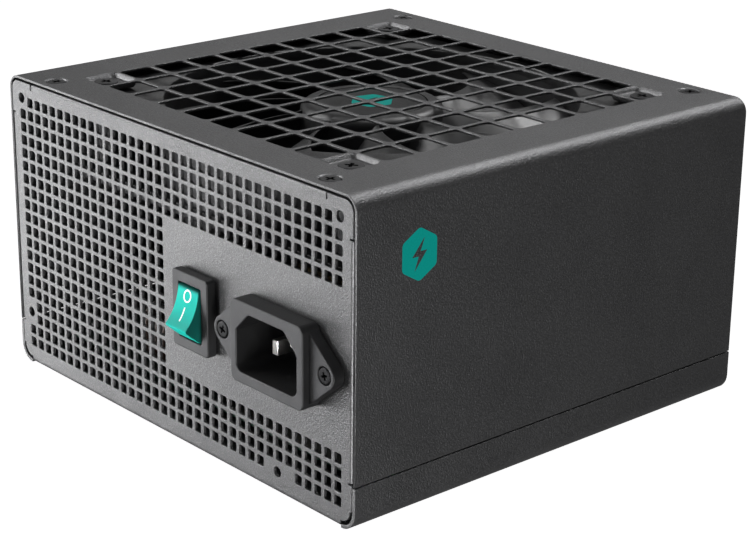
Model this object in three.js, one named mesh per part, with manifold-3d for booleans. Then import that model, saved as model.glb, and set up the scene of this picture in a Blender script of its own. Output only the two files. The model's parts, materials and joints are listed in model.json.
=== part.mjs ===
// Desktop computer power supply unit: a 150 x 140 x 86 mm steel case with a 120 mm fan in its top.
// Millimetres. +Z is up, and the origin is the centre of the case's bottom face. The rear panel, with the
// switch and the mains inlet, faces -Y, and +X is to the right seen from the rear.

import * as THREE from 'three';
import { mergeGeometries, mergeVertices } from 'three/addons/utils/BufferGeometryUtils.js';
import Module from 'manifold-3d';

const wasm = await Module();
wasm.setup();

// Driving dimensions

const CASE = { width: 150, depth: 140, height: 86 };
const SHEET = 1; // thickness of the steel
const SEAM = 0.35; // gap between the cover and the panels
const GAP = 0.32; // gap between any two pieces that touch
const COVER_RADIUS = 4; // outer radius of the cover's long top edges
const BASE_RADIUS = 5; // outer radius of the base's long bottom edges
const LIP_TOP = 12.05; // upper edge of the base's side lips
const COVER_EDGE = 12.4; // lower edge of the cover's sides
const RELIEF = { gap: 1, top: 5.5, inset: 0.5 }; // slot between a panel's lower corners and the base
const FLANGE = { depth: 8.2, left: -63.7, right: 64, low: 13, high: 75 }; // folded edges of the panels
const FLANGE_SLOT = { left: 30.2, right: 48.6, depth: 0.6 };

const PERFORATION = { side: 2.75, pitch: 3.81, columns: 37, rows: 20, middle: 43 };
const BLANK_FIELD = { left: -2.4, low: 20, high: 62 }; // the panel's plain field round switch and inlet
const MOUNTING_HOLES = [
  { x: -69, z: 80, pad: 3 },
  { x: 69, z: 80, pad: 3 },
  { x: -69, z: 16, pad: 3 },
  { x: 45, z: 6, pad: 5 },
];
const MOUNTING_HOLE_RADIUS = 1.45;
const MOUNTING_PAD_HEIGHT = 2.5; // half the height of the plain pad round a mounting hole

const GRILLE = { cells: 10, pitch: 11.5, opening: 10.2 };
const POCKET = { drop: 1.3, wall: 1, floorHalf: 4.3, mouthHalf: 5.4 };
const COVER_SCREW = { x: 59.1, y: 64.6, hole: 3.2, head: 2.75, headHeight: 0.5, shank: 1.45, length: 6 };

const FAN = { side: 120, height: 25, top: 83.35, bore: 57.2, wall: 1.7, flange: 3.5, corner: 4 };
const FAN_SCREW_HOLE = 3.9; // side of the square hole in the frame's corners
const FAN_SCREW = { spacing: 52.5, hole: 2.2, head: 3.4, headHeight: 0.5, shank: 1.85, length: 11 };
const FAN_SEAT = { thickness: 2, margin: 1, sleeve: 1.4, sleeveBelowBearing: 1.4 }; // holds motor and bearing
const FAN_ARM = { width: 4.8, thickness: 2.4 };
const HUB = { radius: 20, wall: 1.5, top: 81.8, skirt: 61.5, chamfer: 1.2, rim: 4.5, recess: 0.6, cap: 1.4 };
const BLADES = { count: 9, tip: 56.2, top: 80.3, bottom: 62.2, thickness: 1.4, camber: 1.6, start: -10 };
const BLADE_CHORD = { root: 28, tip: 36, sweep: 22, sweepPower: 1.5, flattening: 0.25 }; // angles in degrees
const BLADE_STEPS = { radial: 4, chord: 3 };
const FAN_ROUND = 18; // half the number of sides of the fan's round opening
const SHAFT_RADIUS = 1.5;
const BEARING = { outer: 3.9, top: 75.4 };
const YOKE = { thickness: 1.1, low: 62.5 };
const MAGNET = { thickness: 1.4, low: 63.5, high: 75 };
const STATOR = { bore: 7.3, hub: 9.4, low: 63.5, high: 71.5 };
const STATOR_TOOTH = { inner: 12.4, outer: 14.7, halfAngle: 32, neckHalf: 2.2 };
const FAN_CIRCUIT = { inner: 5.9, outer: 15, low: 60.9, high: 62 };

const SWITCH = { x: 13.3, z: 40.4, width: 15, height: 21, bezel: 2.9, corner: 0.8, back: -56 };
const SWITCH_BODY = { width: 13, height: 19.2 };
const SWITCH_MOUTH = { width: 9.4, height: 15.1, floor: -58.5 };
const ROCKER = { pivotY: -71.3, width: 8.8, pin: 1, pinLength: 11.8, pinHole: 1.35, pinHoleLength: 12.4 };
const CONTACT = { pivotY: -62.4, half: 4.6, thickness: 0.9, width: 7, tilt: 8.4 };
const TERMINAL = { width: 4.8, thickness: 0.8, end: -48, rise: 5 };

const INLET = { x: 47.8, z: 40.4, earHalf: 20, earRadius: 3.6, flange: 3.4, front: -75.65, back: -57.7 };
const INLET_BODY = { width: 28.5, height: 21.9, corner: 2, shoulder: 12.5, neckWidth: 27, neckHeight: 20 };
const INLET_CAVITY = { width: 23.7, height: 16, chamfer: 5, corner: 2.3, floor: -59.2 };
const PIN = { width: 2, height: 4, side: 7, earthRise: 1.4, sideDrop: 2.6, tip: -67.2, shoulder: -57.4 };
const PIN_TAB = { width: 0.8, height: 4.8, end: -50.5 };
const INLET_SCREW = { head: 2.2, headHeight: 1.2, shank: 1.5, hole: 1.85, length: 6 };

const BOARD = { halfX: 66, rear: -60, front: 50, low: 8, high: 9.6 };
const BOARD_POST = { x: 62, rear: -54, front: 45, radius: 2.8 };
const BOARD_SCREW_HOLE = 1.7; // radius
const INSULATION = { low: 1.3, high: 1.7, margin: 1 };
const SOCKET_BOARD = { halfX: 68, rear: 55, front: 56.6, low: 10, high: 54 };
const SOCKET = { pitch: 4.2, rim: 1.2, slack: 0.2, rows: 2, rear: 57, floor: 60 };
const SOCKETS = [
  { name: 'motherboard_socket', columns: 12, x: -36, z: 40 },
  { name: 'processor_socket_1', columns: 4, x: 12, z: 40 },
  { name: 'processor_socket_2', columns: 4, x: 46, z: 40 },
  { name: 'graphics_socket', columns: 4, x: -36, z: 22 },
  { name: 'drive_socket_1', columns: 4, x: 12, z: 22 },
  { name: 'drive_socket_2', columns: 4, x: 46, z: 22 },
];
const WIRE_RADIUS = 1.4;

// Components on the main board
const COMMON_MODE_CHOKE = { x: 51, y: -29, radius: 11.5, bore: 5, height: 15 };
const OUTPUT_INDUCTOR = { x: -28, y: -44, radius: 13, bore: 5.5, height: 14 };
const TOROID_BEVEL = 2;
const X_CAPACITOR = { x: 24, y: -37, width: 26, depth: 9, height: 17, corner: 0.8 };
const BULK_CAPACITOR = { x: 28, y: 21, radius: 15, height: 42 };
const OUTPUT_CAPACITOR = { x: -34, y: 42, radius: 5, height: 25 };
const CAN = { edge: 0.8, grooveLow: 2.4, grooveHigh: 4, grooveDepth: 0.6 }; // the groove rolled round a can
const PFC_INDUCTOR = { x: 24, y: -14, width: 27, depth: 26, height: 27 };
const MAIN_TRANSFORMER = { x: -8, y: 10, width: 36, depth: 40, height: 32 };
const STANDBY_TRANSFORMER = { x: -6, y: -28, width: 20, depth: 18, height: 19 };
const WINDING = { width: 0.72, height: 0.7, corner: 3, coreDepth: 0.4 }; // shares of the core's own size
const PRIMARY_HEATSINK = { wallX: 58, rear: -12, front: 44, height: 42, fin: -12, fins: 7 };
const SECONDARY_HEATSINK = { wallX: -42, rear: -26, front: 36, height: 42, fin: -13, fins: 8 };
const FIN = { wall: 3.4, thickness: 1.8 };
const BRIDGE = { x: 62.6, thickness: 4.4, rear: -12, front: 18, low: 5, high: 25 };
const BRIDGE_LEGS = { width: 1.8, thickness: 1, places: [-8, 0, 6, 14] };

// Dimensions that follow from them

const HALF_WIDTH = CASE.width / 2;
const REAR = -CASE.depth / 2;
const FRONT = CASE.depth / 2;
const PANEL_BACK = REAR + SHEET;
const PANEL_HALF = HALF_WIDTH - SHEET - SEAM;
const PANEL_TOP = CASE.height - SHEET - SEAM;
const FAN_BOTTOM = FAN.top - FAN.height;
const FAN_SEAT_TOP = FAN_BOTTOM + FAN_SEAT.thickness;
const HUB_FLOOR = HUB.top - HUB.recess; // floor of the round recess in the hub's top
const HUB_UNDERSIDE = HUB_FLOOR - HUB.cap;
const INLET_FLANGE_FRONT = REAR - GAP - INLET.flange;
const BOARD_TOP = BOARD.high + GAP; // where a component on the board starts
const QUARTER = Math.PI / 2;
const DEGREE = Math.PI / 180;

// Finishes

const FINISH = {
  coatedSteel: { color: 0x4a4a4c, roughness: 0.6, metalness: 0.5 },
  blackPlastic: { color: 0x262628, roughness: 0.5, metalness: 0 },
  fanPlastic: { color: 0x2e2e30, roughness: 0.4, metalness: 0 },
  tealPlastic: { color: 0x14a898, roughness: 0.35, metalness: 0 },
  blackScrew: { color: 0x1c1c1e, roughness: 0.4, metalness: 0.8 },
  bareSteel: { color: 0xb8b8ba, roughness: 0.3, metalness: 1 },
  nickel: { color: 0xd8d6d0, roughness: 0.2, metalness: 1 },
  bronze: { color: 0x8a6a3c, roughness: 0.4, metalness: 0.9 },
  aluminium: { color: 0xa8aaac, roughness: 0.4, metalness: 0.9 },
  circuitBoard: { color: 0x1c4a30, roughness: 0.5, metalness: 0 },
  insulation: { color: 0xd8d4c4, roughness: 0.5, metalness: 0 },
  capacitorSleeve: { color: 0x17171c, roughness: 0.3, metalness: 0 },
  ferrite: { color: 0x35343a, roughness: 0.7, metalness: 0.1 },
  copper: { color: 0xa4552a, roughness: 0.4, metalness: 0.6 },
  yellowFilm: { color: 0xc8a92c, roughness: 0.4, metalness: 0 },
  label: { color: 0x2a2a2c, roughness: 0.5, metalness: 0 },
  brownWire: { color: 0x5a3420, roughness: 0.5, metalness: 0 },
  blueWire: { color: 0x1c4a96, roughness: 0.5, metalness: 0 },
  greenWire: { color: 0x2c7a34, roughness: 0.5, metalness: 0 },
};

const unit = new THREE.Group();

function addPart(name, shape, finish) {
  const geometry = shape instanceof THREE.BufferGeometry ? shape : geometryOf(shape);
  const mesh = new THREE.Mesh(geometry, new THREE.MeshStandardMaterial(FINISH[finish]));
  mesh.name = name;
  unit.add(mesh);
}

// Joining and cutting

function solidOf(geometry) {
  const bare = geometry.clone();
  bare.deleteAttribute('normal');
  bare.deleteAttribute('uv');
  const merged = mergeVertices(bare, 1e-4);
  const corners = merged.index.array;
  const triangles = [];
  for (let i = 0; i < corners.length; i += 3) {
    const [a, b, c] = corners.slice(i, i + 3);
    if (a !== b && b !== c && c !== a) {
      triangles.push(a, b, c);
    }
  }
  const vertProperties = new Float32Array(merged.attributes.position.array);
  const triVerts = new Uint32Array(triangles);
  return new wasm.Manifold(new wasm.Mesh({ numProp: 3, vertProperties, triVerts }));
}

function geometryOf(solid) {
  const mesh = solid.getMesh();
  const geometry = new THREE.BufferGeometry();
  geometry.setAttribute('position', new THREE.BufferAttribute(mesh.vertProperties, mesh.numProp));
  geometry.setIndex(new THREE.BufferAttribute(mesh.triVerts, 1));
  return geometry;
}

function joined(...geometries) {
  return geometries.map(solidOf).reduce((all, next) => all.add(next));
}

function cut(solid, ...geometries) {
  return geometries.map(solidOf).reduce((rest, tool) => rest.subtract(tool), solid);
}

// Basic shapes, all in the case's own frame

function box([x0, x1], [y0, y1], [z0, z1]) {
  const geometry = new THREE.BoxGeometry(x1 - x0, y1 - y0, z1 - z0);
  return geometry.translate((x0 + x1) / 2, (y0 + y1) / 2, (z0 + z1) / 2);
}

function around(centre, half) {
  return [centre - half, centre + half];
}

function rectangle(x, y, width, height) {
  const outline = new THREE.Shape();
  outline.moveTo(x - width / 2, y - height / 2);
  outline.lineTo(x + width / 2, y - height / 2);
  outline.lineTo(x + width / 2, y + height / 2);
  outline.lineTo(x - width / 2, y + height / 2);
  return outline;
}

function roundedRectangle(x, y, width, height, radius) {
  const outline = new THREE.Shape();
  const [right, top] = [width / 2 - radius, height / 2 - radius];
  outline.absarc(x + right, y - top, radius, -QUARTER, 0);
  outline.absarc(x + right, y + top, radius, 0, QUARTER);
  outline.absarc(x - right, y + top, radius, QUARTER, 2 * QUARTER);
  outline.absarc(x - right, y - top, radius, 2 * QUARTER, 3 * QUARTER);
  return outline;
}

function circle(x, y, radius) {
  const outline = new THREE.Shape();
  outline.absarc(x, y, radius, 0, 4 * QUARTER);
  return outline;
}

function withHoles(outline, ...holes) {
  outline.holes.push(...holes);
  return outline;
}

// A shape in X and Y, extruded along Z.
function prismZ(shape, low, high, curveSegments = 3) {
  const options = { depth: high - low, bevelEnabled: false, curveSegments };
  return new THREE.ExtrudeGeometry(shape, options).translate(0, 0, low);
}

// A shape in X and Z, extruded along Y.
function prismY(shape, low, high, curveSegments) {
  return prismZ(shape, -high, -low, curveSegments).rotateX(QUARTER);
}

// A shape in Y and Z, extruded along X.
function prismX(shape, low, high, curveSegments) {
  const [x, y, z] = [new THREE.Vector3(1, 0, 0), new THREE.Vector3(0, 1, 0), new THREE.Vector3(0, 0, 1)];
  const turn = new THREE.Matrix4().makeBasis(y, z, x);
  return prismZ(shape, low, high, curveSegments).applyMatrix4(turn);
}

// A profile of [radius, height] pairs turned round a vertical axis. Its outer side is listed upwards.
function turned(profile, x, y, segments = 16) {
  const points = profile.map(([radius, height]) => new THREE.Vector2(radius, height));
  return new THREE.LatheGeometry(points, segments).rotateX(QUARTER).translate(x, y, 0);
}

function rod(x, y, radius, [low, high], segments) {
  return turned([[0, low], [radius, low], [radius, high], [0, high]], x, y, segments);
}

function tube(x, y, inner, outer, [low, high], segments) {
  const profile = [[inner, low], [outer, low], [outer, high], [inner, high], [inner, low]];
  return turned(profile, x, y, segments);
}

// A four-sided block whose half width goes from lowHalf to highHalf.
function taperedBlock(x, y, [low, high], lowHalf, highHalf) {
  const toCorner = Math.SQRT2;
  const geometry = new THREE.CylinderGeometry(highHalf * toCorner, lowHalf * toCorner, high - low, 4);
  return geometry.rotateY(QUARTER / 2).rotateX(QUARTER).translate(x, y, (low + high) / 2);
}

// A screw with a vertical axis and its head on top. headBase is the height of the underside of the head.
function screw({ head, headHeight, shank, length }, x, y, headBase) {
  const profile = [
    [0, headBase - length],
    [shank, headBase - length],
    [shank, headBase],
    [head, headBase],
    [head, headBase + headHeight],
    [0, headBase + headHeight],
  ];
  return turned(profile, x, y, 8);
}

function forEachCorner(halfX, halfY, make) {
  const corners = [[-1, -1], [1, -1], [1, 1], [-1, 1]];
  return corners.map(([sx, sy], i) => make(sx * halfX, sy * halfY, i + 1));
}

// Case: base, panels and cover

// A channel open upwards: flat bottom at 0, rounded long edges, sides up to lip.
function channelOutline(radius, lip) {
  const outline = new THREE.Shape();
  const centre = HALF_WIDTH - radius;
  const inner = radius - SHEET;
  outline.moveTo(-HALF_WIDTH, lip);
  outline.absarc(-centre, radius, radius, 2 * QUARTER, 3 * QUARTER);
  outline.absarc(centre, radius, radius, 3 * QUARTER, 4 * QUARTER);
  outline.lineTo(HALF_WIDTH, lip);
  outline.lineTo(HALF_WIDTH - SHEET, lip);
  outline.absarc(centre, radius, inner, 4 * QUARTER, 3 * QUARTER, true);
  outline.absarc(-centre, radius, inner, 3 * QUARTER, 2 * QUARTER, true);
  outline.lineTo(-HALF_WIDTH + SHEET, lip);
  return outline;
}

function boardPostPlaces(make) {
  const middle = (BOARD_POST.rear + BOARD_POST.front) / 2;
  const half = (BOARD_POST.front - BOARD_POST.rear) / 2;
  return forEachCorner(BOARD_POST.x, half, (x, y, i) => make(x, middle + y, i));
}

function baseShell() {
  const post = [SHEET / 2, BOARD.low - GAP];
  const posts = boardPostPlaces((x, y) => rod(x, y, BOARD_POST.radius, post, 8));
  const threads = boardPostPlaces((x, y) => rod(x, y, BOARD_SCREW_HOLE, [2 * SHEET, BOARD.high], 8));
  const panelWidth = around(0, HALF_WIDTH - BASE_RADIUS - RELIEF.inset + SEAM);
  const rearSeat = box(panelWidth, [REAR - 1, PANEL_BACK + GAP], [-1, SHEET + GAP]);
  const frontSeat = box(panelWidth, [-PANEL_BACK - GAP, FRONT + 1], [-1, SHEET + GAP]);
  const channel = prismY(channelOutline(BASE_RADIUS, LIP_TOP), REAR, FRONT);
  return cut(joined(channel, ...posts), ...threads, rearSeat, frontSeat);
}

// The outline of the rear and front panels. It follows the cover at the top and leaves the relief slots
// at the lower corners.
function panelOutline() {
  const outline = new THREE.Shape();
  const foot = HALF_WIDTH - BASE_RADIUS;
  const reliefRadius = BASE_RADIUS - SHEET - RELIEF.gap;
  const shoulder = HALF_WIDTH - COVER_RADIUS;
  const topCentre = CASE.height - COVER_RADIUS;
  const topRadius = COVER_RADIUS - SHEET - SEAM;
  outline.moveTo(-foot + RELIEF.inset, 0);
  outline.lineTo(foot - RELIEF.inset, 0);
  outline.lineTo(foot - RELIEF.inset, BASE_RADIUS - reliefRadius);
  outline.absarc(foot, BASE_RADIUS, reliefRadius, -QUARTER, 0);
  outline.lineTo(foot + reliefRadius, RELIEF.top);
  outline.lineTo(PANEL_HALF, RELIEF.top);
  outline.absarc(shoulder, topCentre, topRadius, 0, QUARTER);
  outline.absarc(-shoulder, topCentre, topRadius, QUARTER, 2 * QUARTER);
  outline.lineTo(-PANEL_HALF, RELIEF.top);
  outline.lineTo(-foot - reliefRadius, RELIEF.top);
  outline.absarc(-foot, BASE_RADIUS, reliefRadius, 2 * QUARTER, 3 * QUARTER);
  outline.lineTo(-foot + RELIEF.inset, BASE_RADIUS - reliefRadius);
  return outline;
}

function isPerforated(x, z) {
  const inField = x > BLANK_FIELD.left && z > BLANK_FIELD.low && z < BLANK_FIELD.high;
  const onPad = MOUNTING_HOLES.some(
    (hole) => Math.abs(x - hole.x) < hole.pad && Math.abs(z - hole.z) < MOUNTING_PAD_HEIGHT,
  );
  return !inField && !onPad;
}

function perforation() {
  const holes = [];
  for (let row = 0; row < PERFORATION.rows; row += 1) {
    for (let column = 0; column < PERFORATION.columns; column += 1) {
      const x = (column - (PERFORATION.columns - 1) / 2) * PERFORATION.pitch;
      const z = PERFORATION.middle + (row - (PERFORATION.rows - 1) / 2) * PERFORATION.pitch;
      if (isPerforated(x, z)) {
        const [acrossX, acrossZ] = [around(x, PERFORATION.side / 2), around(z, PERFORATION.side / 2)];
        holes.push(box(acrossX, [REAR - SHEET, PANEL_BACK + SHEET], acrossZ));
      }
    }
  }
  return mergeGeometries(holes);
}

// The folded edges behind a panel: one along the top, which takes the cover screws, and one at each side.
// inner is the panel's inside face, and sign points from it into the case.
function panelFlanges(inner, sign) {
  const reach = [inner - (sign * SHEET) / 2, inner + sign * FLANGE.depth].sort((a, b) => a - b);
  const top = box([FLANGE.left, FLANGE.right], reach, [PANEL_TOP - SHEET, PANEL_TOP]);
  const sides = [-1, 1].map((side) => {
    const middle = side * (PANEL_HALF - SHEET / 2);
    return box(around(middle, SHEET / 2), reach, [FLANGE.low, FLANGE.high]);
  });
  return [top, ...sides];
}

function coverScrewHoles(y) {
  const span = [PANEL_TOP - 2 * SHEET, CASE.height];
  return [-1, 1].map((side) => rod(side * COVER_SCREW.x, y, COVER_SCREW.shank + SEAM, span, 8));
}

function rearPanel() {
  const mounting = MOUNTING_HOLES.map((hole) => circle(hole.x, hole.z, MOUNTING_HOLE_RADIUS));
  const clear = 2 * SEAM;
  const switchHole = rectangle(SWITCH.x, SWITCH.z, SWITCH_BODY.width + clear, SWITCH_BODY.height + clear);
  const { neckWidth, neckHeight } = INLET_BODY;
  const inletHole = rectangle(INLET.x, INLET.z, neckWidth + clear, neckHeight + clear);
  const inletScrews = [-1, 1].map((side) => {
    return circle(INLET.x + side * INLET.earHalf, INLET.z, INLET_SCREW.hole);
  });
  const holes = [...mounting, switchHole, inletHole, ...inletScrews];
  const plate = prismY(withHoles(panelOutline(), ...holes), REAR, PANEL_BACK);
  const slotHeight = [PANEL_TOP - FLANGE_SLOT.depth, CASE.height];
  const slot = box([FLANGE_SLOT.left, FLANGE_SLOT.right], [REAR - 1, PANEL_BACK + SEAM], slotHeight);
  const panel = joined(plate, ...panelFlanges(PANEL_BACK, 1));
  return cut(panel, perforation(), slot, ...coverScrewHoles(-COVER_SCREW.y));
}

function socketSize(columns) {
  const wall = 2 * (SOCKET.rim + SOCKET.slack / 2);
  return { width: columns * SOCKET.pitch + wall, height: SOCKET.rows * SOCKET.pitch + wall };
}

function frontPanel() {
  const windows = SOCKETS.map(({ columns, x, z }) => {
    const { width, height } = socketSize(columns);
    const through = [-PANEL_BACK - SHEET, FRONT + SHEET];
    return box(around(x, width / 2 + SEAM), through, around(z, height / 2 + SEAM));
  });
  const panel = joined(prismY(panelOutline(), -PANEL_BACK, FRONT), ...panelFlanges(-PANEL_BACK, -1));
  return cut(panel, ...windows, ...coverScrewHoles(COVER_SCREW.y));
}

function grilleCells() {
  const last = (GRILLE.cells - 1) / 2;
  const cells = [];
  for (let i = -last; i <= last; i += 1) {
    for (let j = -last; j <= last; j += 1) {
      const isCorner = Math.abs(i) === last && Math.abs(j) === last;
      if (!isCorner) {
        const x = around(i * GRILLE.pitch, GRILLE.opening / 2);
        const y = around(j * GRILLE.pitch, GRILLE.opening / 2);
        cells.push(box(x, y, [CASE.height - 2 * SHEET, CASE.height + SHEET]));
      }
    }
  }
  return cells;
}

// The flat roof, as far as the cover's rounded edges.
function topCover() {
  const roof = CASE.height;
  const floor = roof - POCKET.drop;
  const plate = box(around(0, HALF_WIDTH - COVER_RADIUS - SEAM / 2), [REAR, FRONT], [roof - SHEET, roof]);
  const centre = ((GRILLE.cells - 1) / 2) * GRILLE.pitch;
  const shells = forEachCorner(centre, centre, (x, y) => {
    const span = [floor - POCKET.wall, roof - SHEET / 2];
    return taperedBlock(x, y, span, POCKET.floorHalf + POCKET.wall / 2, POCKET.mouthHalf + POCKET.wall / 2);
  });
  const hollows = forEachCorner(centre, centre, (x, y) => {
    return taperedBlock(x, y, [floor, roof], POCKET.floorHalf, POCKET.mouthHalf);
  });
  const fanHoles = forEachCorner(FAN_SCREW.spacing, FAN_SCREW.spacing, (x, y) => {
    return rod(x, y, FAN_SCREW.hole, [floor - 2 * POCKET.wall, roof], 8);
  });
  const screwHoles = forEachCorner(COVER_SCREW.x, COVER_SCREW.y, (x, y) => {
    return rod(x, y, COVER_SCREW.hole, [roof - 2 * SHEET, roof + SHEET], 12);
  });
  return cut(joined(plate, ...shells), ...grilleCells(), ...hollows, ...fanHoles, ...screwHoles);
}

// One side of the cover, with the rounded edge that bends into the roof.
function coverSide(side) {
  const outline = new THREE.Shape();
  const centre = HALF_WIDTH - COVER_RADIUS;
  const roofCentre = CASE.height - COVER_RADIUS;
  outline.moveTo(HALF_WIDTH - SHEET, COVER_EDGE);
  outline.lineTo(HALF_WIDTH, COVER_EDGE);
  outline.absarc(centre, roofCentre, COVER_RADIUS, 0, QUARTER);
  outline.lineTo(centre - SEAM / 2, CASE.height);
  outline.lineTo(centre - SEAM / 2, CASE.height - SHEET);
  outline.absarc(centre, roofCentre, COVER_RADIUS - SHEET, QUARTER, 0, true);
  const wall = prismY(outline, REAR, FRONT);
  return side > 0 ? wall : wall.rotateZ(2 * QUARTER);
}

function addCase() {
  addPart('base_shell', baseShell(), 'coatedSteel');
  addPart('rear_panel', rearPanel(), 'coatedSteel');
  addPart('front_panel', frontPanel(), 'coatedSteel');
  addPart('top_cover', topCover(), 'coatedSteel');
  addPart('cover_right_side', coverSide(1), 'coatedSteel');
  addPart('cover_left_side', coverSide(-1), 'coatedSteel');
  const headBase = PANEL_TOP + GAP;
  forEachCorner(COVER_SCREW.x, COVER_SCREW.y, (x, y, i) => {
    addPart(`cover_screw_${i}`, screw(COVER_SCREW, x, y, headBase), 'blackScrew');
  });
}

// Fan

function fanFlange(low) {
  const outline = roundedRectangle(0, 0, FAN.side, FAN.side, FAN.corner);
  const holes = forEachCorner(FAN_SCREW.spacing, FAN_SCREW.spacing, (x, y) => {
    return rectangle(x, y, FAN_SCREW_HOLE, FAN_SCREW_HOLE);
  });
  return cut(
    joined(prismZ(outline, low, low + FAN.flange)),
    prismZ(circle(0, 0, FAN.bore), low - 1, low + FAN.flange + 1, FAN_ROUND),
    ...holes.map((hole) => prismZ(hole, low - 1, low + FAN.flange + 1)),
  );
}

function fanFrame() {
  const ring = withHoles(circle(0, 0, FAN.bore + FAN.wall), circle(0, 0, FAN.bore));
  const flanges = [FAN_BOTTOM, FAN.top - FAN.flange].map(fanFlange);
  return flanges.reduce((all, next) => all.add(next), joined(prismZ(ring, FAN_BOTTOM, FAN.top, FAN_ROUND)));
}

// The disc under the motor, with the sleeve that holds the bearing and four arms to the frame's opening.
function fanMotorSeat() {
  const sleeveInner = BEARING.outer + GAP;
  const sleeveOuter = sleeveInner + FAN_SEAT.sleeve;
  const sleeveTop = BEARING.top - FAN_SEAT.sleeveBelowBearing;
  const profile = [
    [0, FAN_BOTTOM],
    [HUB.radius + FAN_SEAT.margin, FAN_BOTTOM],
    [HUB.radius + FAN_SEAT.margin, FAN_SEAT_TOP],
    [sleeveOuter, FAN_SEAT_TOP],
    [sleeveOuter, sleeveTop],
    [sleeveInner, sleeveTop],
    [sleeveInner, FAN_SEAT_TOP],
    [0, FAN_SEAT_TOP],
  ];
  const reach = [HUB.radius, FAN.bore - SEAM];
  const arms = [0, 1, 2, 3].map((quarter) => {
    const arm = box(reach, around(0, FAN_ARM.width / 2), [FAN_BOTTOM, FAN_BOTTOM + FAN_ARM.thickness]);
    return arm.rotateZ((quarter + 0.5) * QUARTER);
  });
  return joined(turned(profile, 0, 0, 20), ...arms);
}

// One blade: a thin block bent round the hub. Its high edge leads, ahead of its low edge in the turning
// direction, and it sweeps forwards towards the tip.
function blade(startAngle) {
  const geometry = new THREE.BoxGeometry(1, 1, 1, BLADE_STEPS.radial, BLADE_STEPS.chord, 1);
  const root = HUB.radius - HUB.wall / 2;
  const points = geometry.attributes.position;
  for (let i = 0; i < points.count; i += 1) {
    const outwards = points.getX(i) + 0.5;
    const along = points.getY(i);
    const radius = root + (BLADES.tip - root) * outwards;
    const chord = BLADE_CHORD.root + (BLADE_CHORD.tip - BLADE_CHORD.root) * outwards;
    const sweep = BLADE_CHORD.sweep * outwards ** BLADE_CHORD.sweepPower;
    const angle = startAngle + (sweep + along * chord) * DEGREE;
    const flatter = 1 - BLADE_CHORD.flattening * outwards;
    const camber = BLADES.camber * (1 - (2 * along) ** 2);
    const middle = (BLADES.top + BLADES.bottom) / 2;
    const span = BLADES.top - BLADES.bottom - BLADES.thickness;
    const height = middle + along * span * flatter + camber + points.getZ(i) * BLADES.thickness;
    points.setXYZ(i, radius * Math.cos(angle), radius * Math.sin(angle), Math.min(height, BLADES.top));
  }
  return geometry;
}

function fanImpeller() {
  const bossRadius = BEARING.outer + GAP;
  const bossLow = BEARING.top + SEAM;
  const hub = [
    [0, HUB_UNDERSIDE - GAP],
    [SHAFT_RADIUS + GAP, HUB_UNDERSIDE - GAP],
    [SHAFT_RADIUS + GAP, bossLow],
    [bossRadius, bossLow],
    [bossRadius, HUB_UNDERSIDE],
    [HUB.radius - HUB.wall, HUB_UNDERSIDE],
    [HUB.radius - HUB.wall, HUB.skirt],
    [HUB.radius, HUB.skirt],
    [HUB.radius, HUB.top - HUB.chamfer],
    [HUB.radius - HUB.chamfer, HUB.top],
    [HUB.radius - HUB.rim, HUB.top],
    [HUB.radius - HUB.rim, HUB_FLOOR],
    [0, HUB_FLOOR],
  ];
  const blades = Array.from({ length: BLADES.count }, (_, i) => {
    return blade(BLADES.start * DEGREE + (i / BLADES.count) * 4 * QUARTER);
  });
  return joined(turned(hub, 0, 0, 27), ...blades);
}

// Four wound poles on a ring, seen from above.
function statorOutline() {
  const { inner, outer, neckHalf } = STATOR_TOOTH;
  const toothHalf = STATOR_TOOTH.halfAngle * DEGREE;
  const neckOut = Math.asin(neckHalf / inner);
  const neckIn = Math.asin(neckHalf / STATOR.hub);
  const outline = new THREE.Shape();
  for (let pole = 0; pole < 4; pole += 1) {
    const angle = pole * QUARTER;
    outline.absarc(0, 0, STATOR.hub, angle - QUARTER + neckIn, angle - neckIn);
    outline.absarc(0, 0, inner, angle - neckOut, angle - toothHalf, true);
    outline.absarc(0, 0, outer, angle - toothHalf, angle + toothHalf);
    outline.absarc(0, 0, inner, angle + toothHalf, angle + neckOut, true);
  }
  return withHoles(outline, circle(0, 0, STATOR.bore));
}

function addMotor() {
  const yokeOuter = HUB.radius - HUB.wall - GAP;
  const yokeInner = yokeOuter - YOKE.thickness;
  const magnetOuter = yokeInner - GAP;
  const magnetInner = magnetOuter - MAGNET.thickness;
  const shaftSpan = [FAN_SEAT_TOP + 2 * GAP, HUB_UNDERSIDE - 2 * GAP];
  const bearingSpan = [FAN_SEAT_TOP + GAP, BEARING.top];
  const yokeSpan = [YOKE.low, HUB_UNDERSIDE - GAP];
  const circuit = tube(0, 0, FAN_CIRCUIT.inner, FAN_CIRCUIT.outer, [FAN_CIRCUIT.low, FAN_CIRCUIT.high], 16);
  addPart('fan_yoke_ring', tube(0, 0, yokeInner, yokeOuter, yokeSpan, 20), 'bareSteel');
  addPart('fan_magnet_ring', tube(0, 0, magnetInner, magnetOuter, [MAGNET.low, MAGNET.high], 20), 'ferrite');
  addPart('fan_shaft', rod(0, 0, SHAFT_RADIUS, shaftSpan, 12), 'bareSteel');
  addPart('fan_bearing', tube(0, 0, SHAFT_RADIUS + GAP, BEARING.outer, bearingSpan, 12), 'bronze');
  addPart('fan_stator', prismZ(statorOutline(), STATOR.low, STATOR.high), 'copper');
  addPart('fan_circuit_board', circuit, 'circuitBoard');
}

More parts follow.
